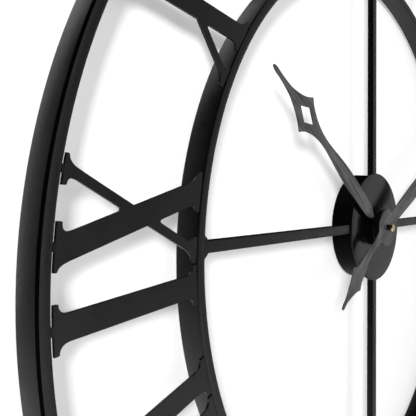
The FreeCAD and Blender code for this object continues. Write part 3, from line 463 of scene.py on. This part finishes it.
# %% Half-widths of the hands
HOUR_RUN = [(19.0, 1.6), (27.0, 6.0), (40.0, 7.9), (60.0, 8.5), (82.0, 8.7), (96.0, 8.3),
            (112.0, 6.9), (126.0, 5.3), (138.0, 4.5), (149.0, 4.9), (160.0, 7.2), (168.0, 10.3),
            (175.0, 14.2), (181.0, 19.6), (187.5, 14.3), (194.0, 10.4), (202.0, 7.0), (210.0, 4.4),
            (220.0, 2.9), (230.0, 2.3), (240.5, 1.8), (241.9, 1.2), (242.5, 0.3)]
MINUTE_RUN = [(17.0, 7.0), (30.0, 7.6), (51.0, 8.6), (77.0, 9.3), (100.0, 9.6), (124.0, 9.3),
              (146.0, 8.2), (166.0, 6.8), (186.0, 5.3), (204.0, 4.6), (220.0, 5.0), (234.0, 7.4),
              (244.0, 11.0), (251.0, 15.0), (256.0, 19.0), (262.5, 14.0), (269.0, 10.2),
              (277.0, 6.8), (285.0, 4.3), (295.0, 2.9), (305.0, 2.3), (314.0, 1.8), (315.4, 1.2),
              (316.0, 0.3)]
TAIL_RUN = [(17.0, 6.4), (26.0, 5.0), (35.0, 4.9), (46.0, 5.6), (60.0, 6.9), (72.0, 8.2),
            (80.0, 9.0), (86.0, 12.9), (93.0, 9.3), (100.0, 6.8), (108.0, 4.5), (117.0, 2.3),
            (127.0, 1.4), (128.1, 0.9), (128.5, 0.3)]


def smooth_run(run, corners, spacing=1.5):
    """Half-widths along a hand, in metres: smooth between the named corners, sharp at them.
    Each stretch is a cubic through its points, with slopes from their neighbours."""
    run = np.asarray(run)
    cuts = [0] + [int(np.argmin(abs(run[:, 0] - c))) for c in corners] + [len(run) - 1]
    along, width = [], []
    for first, last in zip(cuts, cuts[1:]):
        x, y = run[first:last + 1, 0], run[first:last + 1, 1]
        if len(x) < 3:
            slope = np.full(len(x), (y[-1] - y[0]) / (x[-1] - x[0]))
        else:
            slope = np.gradient(y, x)
        for k in range(len(x) - 1):
            gap = x[k + 1] - x[k]
            t = np.linspace(0, 1, max(3, int(gap / spacing) + 1), endpoint=False)
            from_here = (2 * t ** 3 - 3 * t ** 2 + 1) * y[k]
            slope_here = (t ** 3 - 2 * t ** 2 + t) * gap * slope[k]
            to_next = (3 * t ** 2 - 2 * t ** 3) * y[k + 1]
            slope_next = (t ** 3 - t ** 2) * gap * slope[k + 1]
            value = from_here + slope_here + to_next + slope_next
            along.append(x[k] + t * gap)
            width.append(value)
    along.append(run[-1:, 0])
    width.append(run[-1:, 1])
    return np.concatenate(along) / 1000, np.maximum(np.concatenate(width), 0.25) / 1000


# %% [markdown]
# The minute hand isn't flat: it stands proud of its boss so that it clears the hour hand, and its
# tail curves forward too.  A bow is a height that depends only on the distance from the axis.

# %% Bows
BOW_RISE, BOW_START, BOW_LENGTH = 0.006, 0.005, 0.135
TAIL_RISE, TAIL_LENGTH = 0.0079, 0.1235


def flat(along):
    """No bow: the hour hand lies in one plane."""
    return 0 * along


def bow(along):
    """The blade's rise: half a cosine wave from the boss up to BOW_RISE at 140 mm out."""
    share = np.clip((along - BOW_START) / BOW_LENGTH, 0, 1)
    return BOW_RISE * (1 - np.cos(np.pi * share)) / 2


def tail_bow(along):
    """The tail's rise: the square of the distance, up to TAIL_RISE at the tip."""
    return TAIL_RISE * (np.maximum(along - BOW_START, 0) / TAIL_LENGTH) ** 2


# %% [markdown]
# The skin of a hand is two strips in front, two behind, and walls along every open edge.  All of
# them are grids over the same stations along the hand, so their edges meet and merge.

# %% Skin of a hand
ACROSS = np.array([0.0, 0.25, 0.5, 0.75, 0.93, 1.0])
AT_EDGE = np.array([0, 0, 0, 0, 0, 1.0])
EDGE_DROP = 0.00022


def hand_grids(run, corners, diamond, ridge, sense, plane, degrees, rise_of=flat):
    """Grids of one hand or tail: front and back strips, the outer edge and the diamond's walls.
    diamond is (start, middle, end, half-width) and ridge (start, stop, height), in millimetres."""
    along, width = smooth_run(run, corners)
    stations, hole = along, np.zeros_like(along)
    if diamond:
        start, middle, stop, half = [v / 1000 for v in diamond]
        stations = np.unique(np.concatenate([along, [start, middle, stop]]))
        hole = np.interp(stations, [start, middle, stop], [0, half, 0], left=0, right=0)
    width = np.interp(stations, along, width)
    share = np.clip((stations * 1000 - ridge[0]) / (ridge[1] - ridge[0]), 0, 1)
    height = ridge[2] / 1000 * np.clip(np.minimum(4.0 * share, 2.2 * (1 - share)), 0, 1)
    height[(stations * 1000 < ridge[0]) | (stations * 1000 > ridge[1])] = 0
    sides = []
    for side in (-1, 1):
        u = hole[:, None] + (width - hole)[:, None] * ACROSS[None]
        out = np.broadcast_to(sense * stations[:, None], u.shape)
        rise = height[:, None] * (1 - u / np.maximum(width, 1e-6)[:, None])
        drop = np.minimum(EDGE_DROP, width * 0.3)[:, None] * AT_EDGE[None]
        front = np.stack([side * u, -(HAND_SHEET + rise - drop), out], -1)
        back = np.stack([side * u, -0.0001 * AT_EDGE[None] + 0 * u, out], -1)
        surfaces = [front, back, np.stack([front[:, -1], back[:, -1]], 1)]
        inside = np.where(hole > 1e-7)[0]
        if len(inside):
            span = slice(inside[0] - 1, inside[-1] + 2)
            surfaces.append(np.stack([front[span, 0], back[span, 0]], 1))
        surfaces += [np.stack([front[end], back[end]], 0) for end in (0, -1)]
        sides += surfaces
    placed = []
    for surface in sides:
        moved = clock_turn(surface, degrees)
        moved[..., 1] -= plane - HAND_SHEET + rise_of(abs(surface[..., 2]))
        placed.append((moved, False, False))
    return placed


# %% [markdown]
# Both hands have a round boss over the axis.  It is turned, so it is a profile carried round the
# hand axis like the hub, and it merges with the blade into one piece.

# %% Make the hands
def boss_grids(radius, back, front, bore):
    """Disc with a rounded front rim and a bore, turned about the hand axis."""
    rim = min(0.0006, (front - back) * 0.4)
    share = np.linspace(1, 0, 10)[:, None]
    face = np.concatenate([bore + (radius - rim - bore) * share, np.full_like(share, -front)], 1)
    profile = np.concatenate([
        [(bore, -back), (radius - 0.0002, -back), (radius, -back - 0.0002)],
        round_corner((radius - rim, -front + rim), rim, 0, -90, 5)[:-1], face])
    return [(turned(profile, 160), True, True)]


hour_hand = make_piece(
    "hour_hand_blade",
    hand_grids(HOUR_RUN, [181.0], (166.7, 180.2, 192.7, 8.2), (21, 128, 1.5), 1,
               HOUR_PLANE, HOUR_ANGLE)
    + boss_grids(0.0165, HOUR_PLANE - HAND_SHEET, HOUR_PLANE, 0.0025),
    "hour", ["hour_hand"])
minute_hand = make_piece(
    "minute_hand_blade",
    hand_grids(MINUTE_RUN, [256.0], (241.7, 255.2, 267.7, 8.2), (20, 190, 1.5), 1,
               MINUTE_PLANE, MINUTE_ANGLE, bow)
    + hand_grids(TAIL_RUN, [80.0, 86.0], None, (20, 82, 1.2), -1,
                 MINUTE_PLANE, MINUTE_ANGLE, tail_bow)
    + boss_grids(0.0190, MINUTE_PLANE - HAND_SHEET, MINUTE_PLANE, 0.0016),
    "minute", ["minute_hand"])

# %% [markdown]
# The hour hand is held by a black turned boss.  The minute hand sits on the shaft under a black
# collet, and a small brass nut with a groove and a rounded front closes the stack.

# %% Boss, collet and nut
boss_low, boss_high = extent("hour_boss")
hour_boss = make_piece("hour_boss_cap",
                       boss_grids(boss_high[2], -boss_high[1], -boss_low[1], 0.0025),
                       "hour", ["hour_boss"])
collet_low, collet_high = extent("minute_collet")
collet = make_piece("minute_collet_ring",
                    boss_grids(collet_high[2], -collet_high[1], -collet_low[1], 0.0016),
                    "minute", ["minute_collet"])
nut_low, nut_high = extent("hand_nut")
nut_radius, nut_back, nut_front = nut_high[2], nut_high[1], nut_low[1]
nut_round = 0.0010
nut_groove = nut_radius - 0.0003
nut_profile = np.concatenate([
    [(0.0016, nut_back), (nut_radius - 0.0002, nut_back), (nut_radius, nut_back - 0.0002),
     (nut_radius, nut_back - 0.0008), (nut_groove, nut_back - 0.0009),
     (nut_groove, nut_back - 0.0011), (nut_radius, nut_back - 0.0012)],
    round_corner((nut_radius - nut_round, nut_front + nut_round), nut_round, 0, -90, 8),
    [(nut_radius * 0.4, nut_front), (1e-5, nut_front)]])
brass_nut = make_piece("hand_nut_cap", [(turned(nut_profile, 64), True, False)], "minute",
                       ["hand_nut"])

# %% [markdown]
# ## Finishes
# A finish starts from the main shader.  What is the same all over is set on the shader's own
# sockets; what varies, such as grain or streaks, comes from small node chains on Object
# coordinates, which are metres here, so a scale of 1000 means about one speck per millimetre.

# %% Node helpers
def start_finish(name, colour, roughness, metallic=0.0, specular=0.5):
    """New material with its shader; returns the material, its node tree and the shader."""
    material = bpy.data.materials.new(name)
    material.use_nodes = True
    tree = material.node_tree
    shader = tree.nodes["Principled BSDF"]
    shader.inputs["Base Color"].default_value = (*colour, 1.0)
    shader.inputs["Roughness"].default_value = roughness
    shader.inputs["Metallic"].default_value = metallic
    shader.inputs["Specular IOR Level"].default_value = specular
    return material, tree, shader


def place(tree, scale=(1, 1, 1), turn=(0, 0, 0)):
    """Object coordinates turned and stretched by a Mapping node; returns the vector socket."""
    where = tree.nodes.new("ShaderNodeTexCoord")
    mapping = tree.nodes.new("ShaderNodeMapping")
    mapping.inputs["Scale"].default_value = scale
    mapping.inputs["Rotation"].default_value = turn
    tree.links.new(where.outputs["Object"], mapping.inputs["Vector"])
    return mapping.outputs["Vector"]


def speckle(tree, vector, scale, detail=3.0, rough=0.55):
    """Noise between 0 and 1 at so many features a metre; returns the value socket."""
    noise = tree.nodes.new("ShaderNodeTexNoise")
    noise.inputs["Scale"].default_value = scale
    noise.inputs["Detail"].default_value = detail
    noise.inputs["Roughness"].default_value = rough
    tree.links.new(vector, noise.inputs["Vector"])
    return noise.outputs["Fac"]


def spread(tree, value, low, high, start=0.35, stop=0.65):
    """Map a 0 to 1 pattern onto a range of roughness or strength; returns the value socket."""
    ramp = tree.nodes.new("ShaderNodeMapRange")
    ramp.inputs["From Min"].default_value = start
    ramp.inputs["From Max"].default_value = stop
    ramp.inputs["To Min"].default_value = low
    ramp.inputs["To Max"].default_value = high
    tree.links.new(value, ramp.inputs["Value"])
    return ramp.outputs["Result"]


def tint(tree, value, first, second, start=0.35, stop=0.65):
    """Blend two colours by a pattern; returns the colour socket."""
    ramp = tree.nodes.new("ShaderNodeValToRGB")
    ramp.color_ramp.elements[0].position = start
    ramp.color_ramp.elements[0].color = (*first, 1.0)
    ramp.color_ramp.elements[1].position = stop
    ramp.color_ramp.elements[1].color = (*second, 1.0)
    tree.links.new(value, ramp.inputs["Fac"])
    return ramp.outputs["Color"]


def relief(tree, shader, value, depth, under=None):
    """Bump of so many metres from a pattern, on top of another bump if one is given."""
    bump = tree.nodes.new("ShaderNodeBump")
    bump.inputs["Strength"].default_value = 1.0
    bump.inputs["Distance"].default_value = depth
    tree.links.new(value, bump.inputs["Height"])
    if under is not None:
        tree.links.new(under, bump.inputs["Normal"])
    tree.links.new(bump.outputs["Normal"], shader.inputs["Normal"])
    return bump.outputs["Normal"]


def joined(tree, operation, first, second):
    """Math node over two sockets or a socket and a number; returns the result socket."""
    math_node = tree.nodes.new("ShaderNodeMath")
    math_node.operation = operation
    for slot_number, value in enumerate((first, second)):
        if isinstance(value, (int, float)):
            math_node.inputs[slot_number].default_value = value
        else:
            tree.links.new(value, math_node.inputs[slot_number])
    return math_node.outputs[0]


# %% [markdown]
# Powder coat is plastic powder melted onto metal.  Up close it has a fine pebble grain over a
# slower waviness called orange peel, and patches that are a little shinier than others.  The drum's
# wall and the outer ring's front edge get darker, shineless copies of the coat: painted shade,
# and the hub's disc is a smooth glossy enamel with only a very slow waviness.

# %% Powder coat and enamel
def powder_coat(name, level, roughness, grain, specular=0.5):
    """Black coat of a base level and a grain depth in metres.  The patches change its roughness,
    the pebbles change its base by a third and are its fine bump, over the peel's slower bump."""
    colour = (level, level, level)
    material, tree, shader = start_finish(name, colour, roughness, specular=specular)
    here = place(tree)
    patches = speckle(tree, here, 38.0, 4.0)
    tree.links.new(spread(tree, patches, roughness - 0.06, roughness + 0.07),
                   shader.inputs["Roughness"])
    pebble = speckle(tree, here, 1500.0, 2.0)
    tree.links.new(tint(tree, pebble, (0.8 * level,) * 3, (1.3 * level,) * 3),
                   shader.inputs["Base Color"])
    peel = relief(tree, shader, speckle(tree, here, 260.0, 2.0), 0.00005)
    relief(tree, shader, pebble, grain, under=peel)
    return material


frame_black = powder_coat("frame_black", 0.0022, 0.29, 0.00005)
# painted shade: a darker copy of the coat with almost no shine, so the drum's wall reads near black
drum_painted_shade = powder_coat("drum_painted_shade", 0.0012, 0.40, 0.00004, specular=0.06)
# painted shade: a still darker, shineless copy of the coat that draws the dark line on the ring's
# corner
edge_painted_shade = powder_coat("edge_painted_shade", 0.0005, 0.50, 0.00004, specular=0.03)
boss_black = powder_coat("boss_black", 0.001, 0.34, 0.00002)

hub_gloss, tree, shader = start_finish("hub_gloss", (0.001, 0.001, 0.001), 0.20)
here = place(tree)
tree.links.new(spread(tree, speckle(tree, here, 60.0, 4.0), 0.17, 0.23),
               shader.inputs["Roughness"])
relief(tree, shader, speckle(tree, here, 150.0, 2.0), 0.000012)
print("black finishes ready")

# %% [markdown]
# The hands are brushed along their length before they are lacquered grey.  Streaks are noise that
# is stretched a lot along the hand, so each hand's pattern is turned to its own clock angle.  The
# streaks change the grey, the roughness and the bump together, and soft clouds break them up.

# %% Brushed hands
def brushed_grey(name, degrees):
    """Grey lacquer with streaks that run along a hand set at a clock angle."""
    material, tree, shader = start_finish(name, (0.06, 0.06, 0.061), 0.34)
    lengthwise = place(tree, turn=(0, math.radians(-degrees), 0))
    stretch = tree.nodes.new("ShaderNodeMapping")
    stretch.inputs["Scale"].default_value = (11.0, 11.0, 0.6)
    tree.links.new(lengthwise, stretch.inputs["Vector"])
    streaks = speckle(tree, stretch.outputs["Vector"], 40.0, 5.0, 0.6)
    clouds = speckle(tree, place(tree), 45.0, 3.0)
    tree.links.new(spread(tree, streaks, 0.28, 0.42), shader.inputs["Roughness"])
    lines = joined(tree, "ADD", joined(tree, "MULTIPLY", streaks, 0.75),
                   joined(tree, "MULTIPLY", clouds, 0.25))
    tree.links.new(tint(tree, lines, (0.016, 0.016, 0.017), (0.090, 0.090, 0.091), 0.40, 0.60),
                   shader.inputs["Base Color"])
    relief(tree, shader, streaks, 0.00004)
    return material


hour_grey = brushed_grey("hand_grey_hour", HOUR_ANGLE)
minute_grey = brushed_grey("hand_grey_minute", MINUTE_ANGLE)

# %% [markdown]
# Metals: a turned brass nut carries the cutter's rings, so its bump is rings about the hand axis.
# Steel is plated and faintly scratched, copper is wound wire.

# %% Metals
brass, tree, shader = start_finish("brass", (0.93, 0.80, 0.44), 0.24, metallic=1.0)
rings = tree.nodes.new("ShaderNodeTexWave")
rings.wave_type = "RINGS"
rings.rings_direction = "Y"
rings.inputs["Scale"].default_value = 1600.0
rings.inputs["Distortion"].default_value = 1.5
tree.links.new(place(tree), rings.inputs["Vector"])
relief(tree, shader, rings.outputs["Fac"], 0.00001)
tree.links.new(spread(tree, speckle(tree, place(tree), 500.0), 0.18, 0.34),
               shader.inputs["Roughness"])

steel, tree, shader = start_finish("steel", (0.62, 0.62, 0.60), 0.30, metallic=1.0)
scratches = speckle(tree, place(tree, scale=(1, 12, 12)), 220.0, 5.0)
tree.links.new(spread(tree, scratches, 0.22, 0.42), shader.inputs["Roughness"])
relief(tree, shader, scratches, 0.00001)

copper, tree, shader = start_finish("copper", (0.75, 0.36, 0.20), 0.32, metallic=1.0)
wire = tree.nodes.new("ShaderNodeTexWave")
wire.bands_direction = "X"
wire.inputs["Scale"].default_value = 1700.0
tree.links.new(place(tree), wire.inputs["Vector"])
relief(tree, shader, wire.outputs["Fac"], 0.00006)
tree.links.new(tint(tree, wire.outputs["Fac"], (0.38, 0.15, 0.08), (0.80, 0.40, 0.22), 0.0, 0.7),
               shader.inputs["Base Color"])

magnet, tree, shader = start_finish("magnet", (0.10, 0.10, 0.11), 0.45, metallic=0.7)
tree.links.new(spread(tree, speckle(tree, place(tree), 1800.0), 0.35, 0.6),
               shader.inputs["Roughness"])
print("metals ready")

# %% [markdown]
# Plastics and rubber: a moulded case has a fine spark-eroded texture, the wheels are smooth pale
# nylon with faint flow marks, and the rubber parts are dull with a dusty bloom.

# %% Plastics and rubber
def moulded(name, colour, roughness, grain_scale, grain, change=0.15):
    """Plastic or rubber: slow clouds shift colour and roughness, fast grains are the bump."""
    material, tree, shader = start_finish(name, colour, roughness)
    here = place(tree)
    grains = speckle(tree, here, grain_scale, 2.0)
    clouds = speckle(tree, here, 90.0, 3.0)
    tree.links.new(tint(tree, clouds, tuple((1 - change) * c for c in colour),
                        tuple((1 + change) * c for c in colour)), shader.inputs["Base Color"])
    tree.links.new(spread(tree, clouds, roughness - 0.05, roughness + 0.08),
                   shader.inputs["Roughness"])
    relief(tree, shader, grains, grain)
    return material


case_plastic = moulded("case_plastic", (0.013, 0.013, 0.014), 0.42, 2600.0, 0.00004)
gear_plastic = moulded("gear_plastic", (0.72, 0.71, 0.66), 0.38, 700.0, 0.00001, 0.05)
rubber = moulded("rubber", (0.022, 0.021, 0.020), 0.72, 1400.0, 0.00006, 0.25)
print("plastics and rubber ready")

# %% [markdown]
# The cell's printed sleeve is plain: a dark body and a copper-coloured band near its button, with
# no lettering.  The band's edge is a step on the coordinate that runs along the cell.

# %% Cell sleeve and circuit board
def along_axis(tree, axis, start, stop):
    """0 before start and 1 after stop along one object axis, in metres; returns the socket."""
    where = tree.nodes.new("ShaderNodeTexCoord")
    parts = tree.nodes.new("ShaderNodeSeparateXYZ")
    tree.links.new(where.outputs["Object"], parts.inputs["Vector"])
    return spread(tree, parts.outputs[axis], 0.0, 1.0, start, stop)


cell_low, cell_high = extent("battery")
print("cell box, mm:", np.round(1000 * cell_low, 1), np.round(1000 * cell_high, 1))
axis = int(np.argmax(cell_high - cell_low))
band = cell_low[axis] + 0.72 * (cell_high[axis] - cell_low[axis])
cell_jacket, tree, shader = start_finish("cell_jacket", (0.02, 0.02, 0.022), 0.28)
step = along_axis(tree, "XYZ"[axis], band, band + 0.0003)
tree.links.new(tint(tree, step, (0.018, 0.018, 0.02), (0.42, 0.22, 0.07), 0.4, 0.6),
               shader.inputs["Base Color"])
tree.links.new(spread(tree, speckle(tree, place(tree), 300.0), 0.22, 0.36),
               shader.inputs["Roughness"])
relief(tree, shader, speckle(tree, place(tree), 120.0, 2.0), 0.00005)

board, tree, shader = start_finish("board", (0.02, 0.12, 0.05), 0.35)
tracks = tree.nodes.new("ShaderNodeTexBrick")
tracks.inputs["Scale"].default_value = 260.0
tracks.inputs["Mortar Size"].default_value = 0.03
tracks.inputs["Color1"].default_value = (0.02, 0.13, 0.05, 1)
tracks.inputs["Color2"].default_value = (0.02, 0.10, 0.045, 1)
tracks.inputs["Mortar"].default_value = (0.10, 0.26, 0.10, 1)
tree.links.new(place(tree, turn=(math.radians(90), 0, 0)), tracks.inputs["Vector"])
tree.links.new(tracks.outputs["Color"], shader.inputs["Base Color"])
relief(tree, shader, tracks.outputs["Fac"], 0.00003)

# %% [markdown]
# Each drawn piece gets its finish.  The outer ring's front outer corner gets a darker, shineless
# copy of the black coat as a second finish: painted shade that draws a thin dark line along the
# corner.

# %% Give out the finishes
def dress(piece, material):
    """Give a drawn piece one finish."""
    piece.data.materials.clear()
    piece.data.materials.append(material)


for piece in [outer_ring, inner_ring] + spokes + letters:
    dress(piece, frame_black)
# painted shade: the drum's wall takes the darker, shineless copy of the coat
dress(drum, drum_painted_shade)
# painted shade: the outer ring's front outer corner faces take the darker copy, a thin dark line
outer_ring.data.materials.append(edge_painted_shade)
mesh = outer_ring.data
centres = np.empty(3 * len(mesh.polygons))
mesh.polygons.foreach_get("center", centres)
centres = centres.reshape(-1, 3)
reach = np.hypot(centres[:, 0], centres[:, 2])
corner_shade_faces = ((reach > OUTER_RADIUS - 1.05 * TUBE_CORNER)
           & (centres[:, 1] < TUBE_CORNER - RING_FRONT))
mesh.polygons.foreach_set("material_index", corner_shade_faces.astype(np.int32))
print("faces on the dark edge:", int(corner_shade_faces.sum()))
dress(disc, hub_gloss)
dress(hour_hand, hour_grey)
dress(minute_hand, minute_grey)
for piece in (hour_boss, collet):
    dress(piece, boss_black)
dress(brass_nut, brass)

# %% [markdown]
# The engineering pieces that stay in view get their finish by the slot that the record gives them:
# an old material's name says which.

# %% Finish the movement
by_slot = {"frame_black": frame_black, "hub_gloss": hub_gloss, "hand_grey": hour_grey,
           "boss_black": boss_black, "brass": brass, "case_plastic": case_plastic,
           "rubber": rubber, "cell_jacket": cell_jacket, "steel": steel, "board": board,
           "copper": copper, "magnet": magnet, "gear_plastic": gear_plastic}
left_over = []
for name, piece in node.items():
    for holder in piece.material_slots:
        old = holder.material.name if holder.material else ""
        slot_name = next((k for k in by_slot if old == k or old.startswith(k + ".")), None)
        if slot_name:
            holder.material = by_slot[slot_name]
        else:
            left_over.append((name, old))
print("engineering pieces without a finish:", left_over)

# %% [markdown]
# ## Wall, floor and light
# The clock hangs on a white wall over a pale floor.  The wall is clear from behind and casts no
# shadow, so the back of the clock can be lit and looked at too.  The wall doesn't show in the black
# finishes' reflections.

# %% Wall and floor
def flat_stage(name, corners, material):
    """One rectangle marked as part of the stage."""
    mesh = bpy.data.meshes.new(name)
    mesh.from_pydata(corners, [], [(0, 1, 2, 3)])
    mesh.materials.append(material)
    piece = bpy.data.objects.new(name, mesh)
    bpy.context.scene.collection.objects.link(piece)
    return piece


wall_paint, tree, shader = start_finish("wall_paint", (0.90, 0.90, 0.90), 0.85, specular=0.0)
clear = tree.nodes.new("ShaderNodeBsdfTransparent")
facing = tree.nodes.new("ShaderNodeNewGeometry")
mix = tree.nodes.new("ShaderNodeMixShader")
tree.links.new(facing.outputs["Backfacing"], mix.inputs["Fac"])
tree.links.new(shader.outputs["BSDF"], mix.inputs[1])
tree.links.new(clear.outputs["BSDF"], mix.inputs[2])
tree.links.new(mix.outputs["Shader"], tree.nodes["Material Output"].inputs["Surface"])
HALF_ROOM, FLOOR_Z, WALL_TOP, WALL_Y = 4, -1.2, 4, 0.0004
wall = flat_stage("wall", [(-HALF_ROOM, WALL_Y, FLOOR_Z), (HALF_ROOM, WALL_Y, FLOOR_Z),
                           (HALF_ROOM, WALL_Y, WALL_TOP), (-HALF_ROOM, WALL_Y, WALL_TOP)],
                  wall_paint)
floor_paint, tree, shader = start_finish("floor_paint", (0.82, 0.81, 0.79), 0.7, specular=0.1)
floor = flat_stage("floor", [(-HALF_ROOM, -HALF_ROOM, FLOOR_Z), (HALF_ROOM, -HALF_ROOM, FLOOR_Z),
                             (HALF_ROOM, HALF_ROOM, FLOOR_Z), (-HALF_ROOM, HALF_ROOM, FLOOR_Z)],
                   floor_paint)
wall.visible_glossy = False
wall.visible_diffuse = False
wall.visible_shadow = False
floor.visible_diffuse = False

# %% [markdown]
# Black metal is seen only by what it mirrors, so the room is a sky whose brightness depends on
# direction.  A narrow bright strip ahead and to the left lights the rings' crowned faces, a broad
# glow to the right lights the hub's disc, a dim one behind on the left lights the rings' sides,
# and one straight behind lights the backs.  The eye itself sees only a plain pale backdrop.

# %% Room light
room = bpy.data.worlds.new("room")
bpy.context.scene.world = room
room.use_nodes = True
sky = room.node_tree
glow = sky.nodes["Background"]
direction = sky.nodes.new("ShaderNodeTexCoord")
parts = sky.nodes.new("ShaderNodeSeparateXYZ")
sky.links.new(direction.outputs["Generated"], parts.inputs["Vector"])

x, y, z = (parts.outputs[k] for k in "XYZ")
in_front = joined(sky, "MULTIPLY", spread(sky, y, 1.0, 0.0, -0.30, 0.02),
                  spread(sky, z, 1.25, 0.80, -0.45, 0.35))
strip = joined(sky, "MULTIPLY", spread(sky, x, 0.0, 0.85, 0.10, 0.24),
               spread(sky, x, 1.0, 0.21, 0.40, 0.54))
across = joined(sky, "ADD", strip, spread(sky, x, 0.0, 0.30, 0.60, 0.86))
ahead = joined(sky, "MULTIPLY", in_front, across)
level = spread(sky, joined(sky, "ABSOLUTE", z, 0.0), 1.0, 0.0, 0.10, 0.55)
left_steps = joined(sky, "ADD", spread(sky, x, 0.0, 0.18, -0.88, -0.72),
                    spread(sky, x, 0.0, 0.14, -0.68, -0.56))
on_left = joined(sky, "MULTIPLY", left_steps, spread(sky, x, 1.0, 0.0, -0.50, -0.05))
left_back = joined(sky, "MULTIPLY", joined(sky, "MULTIPLY", on_left, level),
                   spread(sky, y, 0.0, 1.0, 0.0, 0.3))
near_middle = spread(sky, joined(sky, "ABSOLUTE", x, 0.0), 0.9, 0.0, 0.22, 0.44)
straight_back = joined(sky, "MULTIPLY", near_middle, spread(sky, y, 0.0, 1.0, 0.40, 0.65))
behind = joined(sky, "ADD", left_back, straight_back)
sky.links.new(joined(sky, "ADD", ahead, behind), glow.inputs["Strength"])
glow.inputs["Color"].default_value = (1.0, 1.0, 1.0, 1.0)

# %% [markdown]
# A Light Path node tells what the eye sees straight away from what is mirrored or scattered, so
# the backdrop can be plain while the glow stays uneven.

# %% Plain backdrop
backdrop = sky.nodes.new("ShaderNodeBackground")
backdrop.inputs["Color"].default_value = (0.86, 0.86, 0.86, 1.0)
seen = sky.nodes.new("ShaderNodeLightPath")
choose = sky.nodes.new("ShaderNodeMixShader")
sky.links.new(seen.outputs["Is Camera Ray"], choose.inputs["Fac"])
sky.links.new(glow.outputs["Background"], choose.inputs[1])
sky.links.new(backdrop.outputs["Background"], choose.inputs[2])
sky.links.new(choose.outputs["Shader"], sky.nodes["World Output"].inputs["Surface"])
print("room light nodes:", len(sky.nodes))

# %% [markdown]
# Three soft lamps light the wall and the colours.  The key stands at the upper left, small enough
# for the shadows' soft edges, and they fall just below each part.  The fill is broad and casts no
# shadow of its own.  The rear lamp lights the movement's back.

# %% Lamps
def lamp(name, size, power, place_at, aim):
    """Square area lamp of a size in metres at a place, facing a point."""
    light = bpy.data.lights.new(name, "AREA")
    light.shape = "SQUARE"
    light.size = size
    light.energy = power
    holder = bpy.data.objects.new(name, light)
    bpy.context.scene.collection.objects.link(holder)
    holder.rotation_euler = (Vector(aim) - Vector(place_at)).to_track_quat("-Z", "Y").to_euler()
    holder.location = place_at
    holder.visible_glossy = False
    holder.visible_camera = False
    return holder


lamp("key", 0.34, 31.0, (-1.6, -1.0, 0.47), (-0.1, 0.0, 0.0))
fill = lamp("fill", 3.0, 90.0, (0.2, -3.5, 0.5), (0.0, 0.0, 0.0))
fill.data.use_shadow = False
lamp("rear", 2.0, 60.0, (0.9, 2.2, 0.9), (0.0, 0.0, 0.0))

# %% [markdown]
# ## Camera
# The camera stands close to the wall, left of the dial and a little below its middle, and looks
# along the dial to the right.

# %% Camera
def look(location, yaw, pitch, roll, lens, shift):
    """Camera from angles in degrees: forward from yaw and pitch, then rolled about forward."""
    yaw, pitch, roll = np.radians([yaw, pitch, roll])
    forward = np.array([np.sin(yaw) * np.cos(pitch), np.cos(yaw) * np.cos(pitch),
                        np.sin(pitch)])
    right = np.array([np.cos(yaw), -np.sin(yaw), 0.0])
    up = np.cross(right, forward)
    across = np.cos(roll) * right + np.sin(roll) * up
    upwards = -np.sin(roll) * right + np.cos(roll) * up
    data = bpy.data.cameras.new("camera")
    data.lens = lens
    data.sensor_width = 36.0
    data.shift_x, data.shift_y = shift
    data.clip_start = 0.01
    camera = bpy.data.objects.new("camera", data)
    rows = [[across[k], upwards[k], -forward[k], location[k]] for k in range(3)]
    camera.matrix_world = Matrix(rows + [[0, 0, 0, 1]])
    bpy.context.scene.collection.objects.link(camera)
    return camera


bpy.context.scene.camera = look((-0.56159, -0.28095, 0.05061), 48.996, 4.498, 1.392, 48.2008,
                                (-0.00824, -0.18694))
bpy.context.scene.view_settings.view_transform = "Standard"
print("camera at", [round(v, 3) for v in bpy.context.scene.camera.matrix_world.translation])
